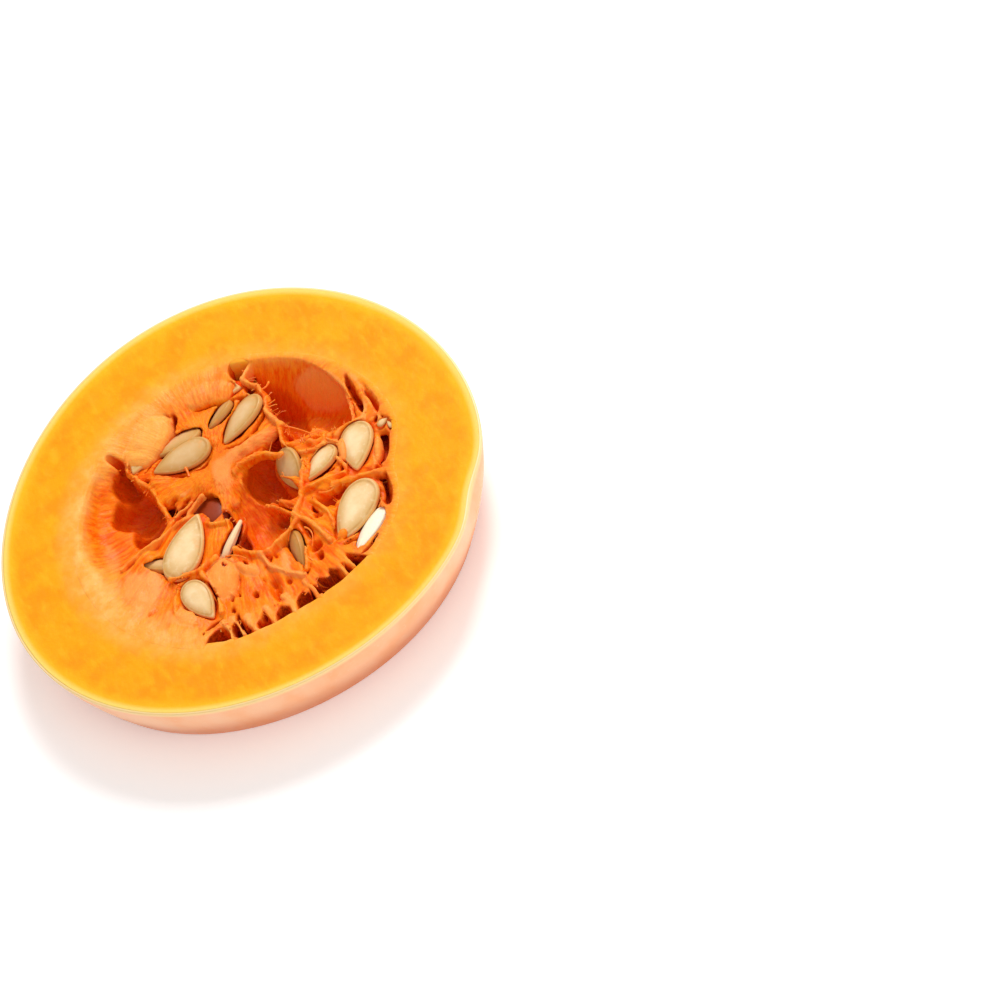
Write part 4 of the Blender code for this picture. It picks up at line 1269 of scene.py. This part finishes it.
def relief(points):
    """The height of the fibres and folds that stand on the pulp's skin."""
    along = fibre_places(points)
    fold = 1 - 2 * np.abs(lattice_noise(along * [0.45, 0.45, 0.7], 71))
    fibre = 1 - 2 * np.abs(lattice_noise(along, 72))
    lumps = lattice_noise(points / 1.5, 73)
    return FOLD_HEIGHT * fold + FIBRE_HEIGHT * fibre + LUMP_HEIGHT * lumps


SKY_RAYS = 20
LOWEST_RAY = 0.25
OFF_THE_SKIN = 0.5
SKY_STEPS = (0.8, 1.5, 2.4, 3.6, 5.2, 7.2, 9.6)


def filled_cells(lump):
    """Where the grid holds pulp, seed or flesh, which keep the sky's light out."""
    filled = np.maximum(lump > 0, RADIUS > cavity_radius(TURN, Z))
    for x, y, depth, turn, length, width, roll, pitch, _ in SEEDS:
        centre = raised((x, y, depth))
        part = round_window(centre, length / 2)
        halves = (length / 2, width / 2, SEED_THICKNESS / 2)
        filled[part] |= egg(part, centre, halves, seed_lie(turn, roll, pitch), torn=False) > 0
    filled[:, :, Z[0, 0] > THICKNESS] = False
    filled[:, :, Z[0, 0] < 0] = False
    return filled


def open_sky(filled, points, outward):
    """How much of the sky each place sees, the front's or the back's, whichever is more."""
    best = np.zeros(len(points))
    for side in (1, -1):
        seen_light, all_light = 0, 0
        for number in range(SKY_RAYS):
            rise = LOWEST_RAY + (1 - LOWEST_RAY) * (number + 0.5) / SKY_RAYS
            turn = number * math.pi * (3 - math.sqrt(5))
            flat = math.sqrt(1 - rise * rise)
            ray = np.array([flat * math.cos(turn), flat * math.sin(turn), rise * side])
            free = np.ones(len(points), bool)
            for step in SKY_STEPS:
                spot = np.rint((points + outward * OFF_THE_SKIN + ray * step - GRID_LOW) / CELL).astype(int)
                spot = np.clip(spot, 0, GRID_COUNT - 1)
                free &= ~filled[tuple(spot.T)]
            seen_light = seen_light + free * rise
            all_light += rise
        best = np.maximum(best, seen_light / all_light)
    return best


CALM_RIM = 5.0
FULLY_DEEP = 9.0
HALO_WIDTH = 9.0
HALO_DEPTH = 3.4
LAP_WIDTH = 1.3
LEAST_HEIGHT = 0.05
UNDER_FACE = 0.03
filled = filled_cells(lump)
# painted shade: the share of the sky a place cannot see, by which the pulp is painted darker red
hollow = 1 - open_sky(filled, points, outward)
# painted light and shade: how crowded a place is by pulp, seed and flesh; open ridges are painted paler,
# crowded creases darker
crease = sample(blurred(filled.astype(np.float32), 2), points + outward * OFF_THE_SKIN)
# the tissue's tint, with the painted light and shade laid on by the forms
tint_and_shade = sample(TINT_AND_SHADE, points)
around = np.degrees(np.arctan2(points[:, 1], points[:, 0]))
inset = cavity_radius(around, points[:, 2]) - np.hypot(points[:, 0], points[:, 1])
on_cut = np.minimum(points[:, 2], THICKNESS - points[:, 2])
calm = ease(inset / CALM_RIM)
points = points + outward * (relief(points) * calm)[:, None]
points[:, 2] = np.clip(points[:, 2], LEAST_HEIGHT, THICKNESS - UNDER_FACE)
# painted shade: the pulp is painted darker red the farther it lies from both cuts
deep = ease(on_cut / FULLY_DEEP)
halo = halo_at(around) * ease(1 - (inset - 0.5) / HALO_WIDTH) * ease(1 - on_cut / HALO_DEPTH)
halo = halo * ease((tint_and_shade + 0.9) / 0.6)
lap = ease(0.2 - inset / LAP_WIDTH) * ease(1 - on_cut)

rough.vertices.foreach_set("co", ((points - outline_centre()) * MM).astype(np.float32).ravel())
for label, numbers in {"hollow": hollow, "deep": deep, "halo": halo, "crease": crease, "tint_and_shade": tint_and_shade,
                       "lap": lap}.items():
    write_values(rough, label, numbers)
write_values(rough, "fibres", fibre_places(points), "FLOAT_VECTOR", "vector")
rough.shade_smooth()
rough.update()


def pulp_finish():
    finish, tree, shader, place = new_finish("pulp", {
        "Subsurface Weight": 0.2, "Subsurface Radius": (1.0, 0.2, 0.04), "Subsurface Scale": 0.0014,
        "Specular IOR Level": 0.1})
    crease, tint_and_shade, halo = (read(tree, name) for name in ("crease", "tint_and_shade", "halo"))
    along = read(tree, "fibres", "Vector")
    fibre = cloud(tree, along, 1.6, detail=4)
    fine = cloud(tree, along, 4.2, detail=3)
    sway = maths(tree, "SUBTRACT", fibre, 0.5)
    hollow = maths(tree, "ADD", read(tree, "hollow"), maths(tree, "MULTIPLY", sway, 0.9))
    # the tint with its painted light and shade, streaked along the fibres
    streaked_tint_and_shade = maths(tree, "ADD", tint_and_shade, maths(tree, "MULTIPLY", sway, 0.5))
    colour = layered(tree, paint(244, 94, 0), [
        # value, where its coat starts, where it is full, how strong, colour
        (fibre, 0.34, 0.68, 1.0, (255, 142, 26)),
        (cloud(tree, place, 160), 0.45, 0.7, 0.5, (255, 150, 26)),
        (fine, 0.56, 0.74, 0.3, (255, 178, 92)),
        (fine, 0.44, 0.3, 0.3, (230, 74, 0)),
        # paler tissue: partly its own colour, partly painted light
        (streaked_tint_and_shade, 0.1, 0.9, 1.0, (255, 166, 96)),
        # painted light on open ridges, painted shade in crowded creases
        (crease, 0.16, 0.05, 0.6, (255, 164, 74)),
        (crease, 0.3, 0.55, 0.6, (228, 74, 1))])
    # painted shade: darker red farther from the cuts
    colour = mix(tree, maths(tree, "MULTIPLY", read(tree, "deep"), 0.4), colour, paint(226, 76, 3))
    colour = layered(tree, colour, [
        # painted shade: dark red in pockets, gaps and slits
        (streaked_tint_and_shade, -0.1, -0.8, 0.6, (206, 52, 0)),
        # painted shade: darkest red where little of the sky is seen
        (hollow, 0.35, 0.85, 0.85, (224, 72, 0)),
        (hollow, 0.78, 1.0, 1.0, (146, 20, 0)),
        # paler tissue: partly its own colour, partly painted light
        (streaked_tint_and_shade, 0.3, 1.0, 0.7, (255, 140, 44)),
        (tint_and_shade, 1.0, 1.7, 0.85, (255, 184, 86)),
        # painted shade: near black-red in the gaps and slits
        (tint_and_shade, -0.76, -1.0, 0.92, (104, 6, 0))])
    salmon, _ = salmon_tissue(tree, place)
    over_flesh = mix(tree, halo, paint(255, 156, 8), salmon)
    colour = mix(tree, read(tree, "lap"), mix(tree, halo, colour, salmon), over_flesh)
    height = maths(tree, "ADD", fibre, maths(tree, "MULTIPLY", cloud(tree, place, 1500), 0.35))
    connect(tree, shader, colour, reach(tree, fibre, 0.3, 0.7, 0.26, 0.42), height, 0.5, 0.0006)
    return finish


pulp_look = pulp_finish()
pulp = show(rough, "pulp_lump")
dress(pulp, pulp_look, "pulp", "pulp_and_seeds")


# The fibres are the strings of the pulp: fine strands that still bridge the hollows where it
# tore, and whiskers left standing on its edges. Their roots are sunk in the pulp they grew in.
STRAND_STEPS = 8
STRAND_SIDES = 4
ROOT = 0.35
BRIDGE_COUNT = 36
BRIDGE_SHORTEST = 2.0
BRIDGE_LONGEST = 3.8
BRIDGE_DEEPEST = 7.0
SPOTS_TRIED = 2600
BRIDGES_TRIED = 9000
BRIDGE_HALVES = (0.06, 0.15)
FRINGE_HALVES = (0.05, 0.12)
WHISKER_HALVES = (0.07, 0.14)
WHISKER_LENGTHS = (0.3, 1.0)
SHARES_KEPT_CLEAR = (0.14, 0.3, 0.5, 0.7, 0.86)
WHISKER_COUNT = 70
STRANDS = [
    # start, middle and end as seen, with depths, and half thickness
    ((-6.6, 13.8, 1.4), (-6.4, 15.2, 1.2), (-6.3, 16.6, 1.4), 0.3),
    ((16.6, 12.0, 1.6), (19.4, 8.6, 2.4), (22.0, 4.0, 2.0), 0.2),
    ((16.8, 24.6, 1.4), (18.2, 24.2, 1.8), (19.6, 25.0, 2.6), 0.22),
    ((23.6, 1.6, 1.2), (24.6, 0.2, 0.6), (25.8, -1.8, 1.0), 0.24),
    ((-9.2, -12.2, 1.2), (-7.0, -13.6, 0.8), (-5.6, -16.0, 1.0), 0.2),
    ((9.2, -17.4, 1.4), (9.9, -20.0, 1.2), (8.4, -23.4, 1.6), 0.18),
    ((16.0, -11.0, 1.2), (18.2, -12.2, 1.0), (20.4, -11.8, 1.2), 0.24),
]
FRINGES = [
    # where it starts and ends as seen, with depths, the way it hangs, how many, the longest
    ((14.8, 29.6, 1.4), (16.2, 20.6, 1.6), (2.0, -0.4, -1.6), 12, 3.0),
    ((16.2, 20.6, 1.6), (17.0, 11.6, 1.8), (2.0, 0.6, -1.2), 12, 3.2),
    ((16.6, 10.0, 1.8), (18.4, 4.6, 1.8), (1.0, 1.8, 0.2), 16, 2.4),
    ((18.4, 4.6, 1.6), (25.4, 1.6, 1.4), (0.2, 2.0, 0.5), 24, 2.6),
    ((25.4, 1.6, 1.4), (31.6, 0.6, 1.4), (-0.4, 1.6, 0.5), 12, 2.2),
    ((-16.6, 25.6, 2.0), (-15.0, 13.0, 2.2), (-1.8, -0.6, -1.0), 24, 2.2),
    ((-14.6, 11.0, 2.0), (-16.0, 3.0, 2.0), (-1.6, 0.6, -0.8), 16, 2.0),
    ((-20.4, -28.0, 1.4), (-13.6, -30.6, 1.4), (0.2, -1.6, -0.4), 14, 1.8),
    ((-13.0, -31.4, 1.4), (2.0, -33.2, 1.4), (0.2, -1.6, -0.4), 20, 1.8),
]


def bridge_ends(count):
    """Pairs of places on the pulp's skin with only air between them, near enough for a fibre."""
    draw = np.random.default_rng(83)
    open_skin = (THICKNESS - points[:, 2] < BRIDGE_DEEPEST) & (outward[:, 2] > -0.3) & (inset > 1.0)
    spots = points[draw.choice(np.flatnonzero(open_skin), SPOTS_TRIED, replace=False)]
    apart = np.linalg.norm(spots[:, None] - spots[None], axis=-1)
    first, second = np.nonzero(np.triu((apart > BRIDGE_SHORTEST) & (apart < BRIDGE_LONGEST)))
    order = draw.permutation(len(first))[:BRIDGES_TRIED]
    start, end = spots[first[order]], spots[second[order]]
    clear = np.ones(len(order), bool)
    for share in SHARES_KEPT_CLEAR:
        between = start * (1 - share) + end * share
        cell = np.rint((between - GRID_LOW) / CELL).astype(int)
        clear &= (sample(lump, between) < -0.12) & ~filled[tuple(cell.T)]
    kept = np.flatnonzero(clear)[:count]
    return start[kept], end[kept]


def strand_paths():
    """Every strand's path and half thickness: those listed, bridges, then whiskers."""
    draw = np.random.default_rng(89)
    paths = [(bent(seen(start), seen(middle), seen(end), STRAND_STEPS), half)
             for start, middle, end, half in STRANDS]
    for start, end in zip(*bridge_ends(BRIDGE_COUNT)):
        line = end - start
        length = np.linalg.norm(line)
        root = line / length * ROOT
        sag = draw.uniform(-0.1, 0.1, 3) * length - [0, 0, 0.08 * length]
        half = draw.uniform(*BRIDGE_HALVES)
        paths.append((bent(start - root, (start + end) / 2 + sag, end + root, STRAND_STEPS), half))
    for start, end, way, count, longest in FRINGES:
        for share in draw.uniform(0, 1, count):
            root = seen(start) * (1 - share) + seen(end) * share + draw.uniform(-0.35, 0.35, 3)
            lean = np.array(way) + draw.uniform(-1.5, 1.5, 3)
            reach_out = lean / np.linalg.norm(lean) * draw.uniform(0.5, longest)
            droop = draw.uniform(-0.2, 0.2, 3) * np.linalg.norm(reach_out)
            paths.append((bent(root, root + reach_out / 2 + droop, root + reach_out, STRAND_STEPS),
                          draw.uniform(*FRINGE_HALVES)))
    edges = np.flatnonzero((crease < 0.1) & (THICKNESS - points[:, 2] < 5.0) & (inset > 2.0))
    for place in draw.choice(edges, WHISKER_COUNT, replace=False):
        lean = outward[place] + draw.uniform(-0.9, 0.9, 3)
        tip = points[place] + lean / np.linalg.norm(lean) * draw.uniform(*WHISKER_LENGTHS)
        tip[2] = min(tip[2], THICKNESS - 0.1)
        middle = (points[place] + tip) / 2 + draw.uniform(-0.25, 0.25, 3)
        paths.append((bent(points[place] - outward[place] * ROOT, middle, tip, STRAND_STEPS),
                      draw.uniform(*WHISKER_HALVES)))
    for path, half in paths:
        path[:, 2] = np.minimum(path[:, 2], THICKNESS - 0.2)
    return paths


def strand_carrier():
    """A chain of points for each strand, which holds how thick the strand is there."""
    places, links, thick = [], [], []
    for path, half in strand_paths():
        first = len(places)
        places.extend(path)
        links.extend((first + step, first + step + 1) for step in range(STRAND_STEPS - 1))
        thick.extend(half * (1 + 0.5 * np.abs(np.linspace(-1, 1, STRAND_STEPS)) ** 2))
    mesh = bpy.data.meshes.new("strand_carrier")
    mesh.from_pydata(((np.array(places) - outline_centre()) * MM).tolist(), links, [])
    write_values(mesh, "thick", np.array(thick) * MM)
    return mesh


def strand_tree():
    tree, start, end = geometry_tree("spun_strands", {"Thickness": 1.0})
    radius = maths(tree, "MULTIPLY", held(tree, "thick", "FLOAT"), start.outputs["Thickness"])
    path = add(tree, "GeometryNodeMeshToCurve", {"Mesh": start.outputs["Geometry"]})
    section = add(tree, "GeometryNodeCurvePrimitiveCircle", {"Resolution": STRAND_SIDES, "Radius": 1.0})
    spun = add(tree, "GeometryNodeCurveToMesh", {
        "Curve": path.outputs[0], "Profile Curve": section.outputs[0], "Fill Caps": True, "Scale": radius})
    tree.links.new(spun.outputs[0], end.inputs[0])
    return tree


def fibre_finish():
    finish, tree, shader, place = new_finish("fibre", {
        "Subsurface Weight": 0.3, "Subsurface Radius": (1.0, 0.3, 0.08), "Subsurface Scale": 0.001,
        "Specular IOR Level": 0.3, "Roughness": 0.3})
    share = reach(tree, cloud(tree, place, 240), 0.35, 0.65)
    colour = mix(tree, share, paint(250, 112, 14), paint(255, 152, 60))
    tree.links.new(colour, shader.inputs["Base Color"])
    return finish


fibre_look = fibre_finish()
carrier = show(strand_carrier(), "strand_carrier")
fibres = grown(strand_tree(), carrier, "fibres", fibre_look, {"Thickness": 1.0})
dress(fibres, fibre_look, "pulp", "pulp_and_seeds")

# The slice lies on a plain white table under a broad soft light from above and behind, with
# light from all round, and the camera looks down on it at the photograph's angle.
CAMERA_ELEVATION = 48.508
CAMERA_ROLL = 32.382
CAMERA_DISTANCE = 6000.0
FRAME_WIDTH = 222.583
AIM_RIGHT = 58.154
AIM_UP = -0.036
SENSOR = 36.0
FARTHEST_SEEN = 20.0
TABLE_HALF = 3.0
DAYLIGHT = 0.6
LAMPS = [
    # name, the way to it, metres to it, metres wide, watts
    ("window", (0.5, 0.62, 0.9), 1.1, 0.4, 8.6),
    ("front_fill", (0.45, -1.0, 0.6), 1.4, 0.8, 3.4),
]


def table_top():
    mesh = bpy.data.meshes.new("table_top")
    signs = ((-1, -1), (1, -1), (1, 1), (-1, 1))
    mesh.from_pydata([(a * TABLE_HALF, b * TABLE_HALF, 0) for a, b in signs], [], [(0, 1, 2, 3)])
    top = show(mesh, "table_top")
    finish, tree, shader, place = new_finish("table_top", {
        "Roughness": 0.9, "Specular IOR Level": 0.1,
        "Emission Color": (1, 1, 1, 1), "Emission Strength": 0.2})
    share = reach(tree, cloud(tree, place, 3), 0.2, 0.8)
    white = mix(tree, share, paint(254, 254, 254), paint(252, 252, 252))
    tree.links.new(white, shader.inputs["Base Color"])
    mesh.materials.append(finish)


def photo_camera():
    """A long lens, turned round its own axis, so that the slice sits where the photograph has it."""
    rise, roll = math.radians(CAMERA_ELEVATION), math.radians(CAMERA_ROLL)
    across = Vector((1, 0, 0))
    up = Vector((0, math.sin(rise), math.cos(rise)))
    back = Vector((0, -math.cos(rise), math.sin(rise)))
    right = across * math.cos(roll) - up * math.sin(roll)
    above = across * math.sin(roll) + up * math.cos(roll)
    face = Vector((0, 0, THICKNESS))
    face.x, face.y = (-value for value in outline_centre()[:2])
    aim = face + right * AIM_RIGHT + above * AIM_UP
    camera = bpy.data.cameras.new("camera")
    camera.lens = SENSOR * CAMERA_DISTANCE / FRAME_WIDTH
    camera.sensor_width = SENSOR
    camera.clip_end = FARTHEST_SEEN
    made = bpy.data.objects.new("camera", camera)
    bpy.context.scene.collection.objects.link(made)
    turn = Matrix((right, above, back)).transposed().to_4x4()
    made.matrix_world = Matrix.Translation((aim + back * CAMERA_DISTANCE) * MM) @ turn
    bpy.context.scene.camera = made


def soft_light(name, towards, distance, size, power):
    """A square lamp that faces the slice from a direction."""
    lamp = bpy.data.lights.new(name, "AREA")
    lamp.size = size
    lamp.energy = power
    made = bpy.data.objects.new(name, lamp)
    bpy.context.scene.collection.objects.link(made)
    where = Vector(towards).normalized() * distance
    made.location = where
    made.rotation_euler = where.to_track_quat("Z", "Y").to_euler()


def daylight():
    world = bpy.data.worlds.new("daylight")
    world.use_nodes = True
    sky = world.node_tree.nodes["Background"]
    sky.inputs["Color"].default_value = (1, 1, 1, 1)
    sky.inputs["Strength"].default_value = DAYLIGHT
    bpy.context.scene.world = world


table_top()
photo_camera()
daylight()
for lamp in LAMPS:
    soft_light(*lamp)
bpy.context.scene.view_settings.view_transform = "Standard"
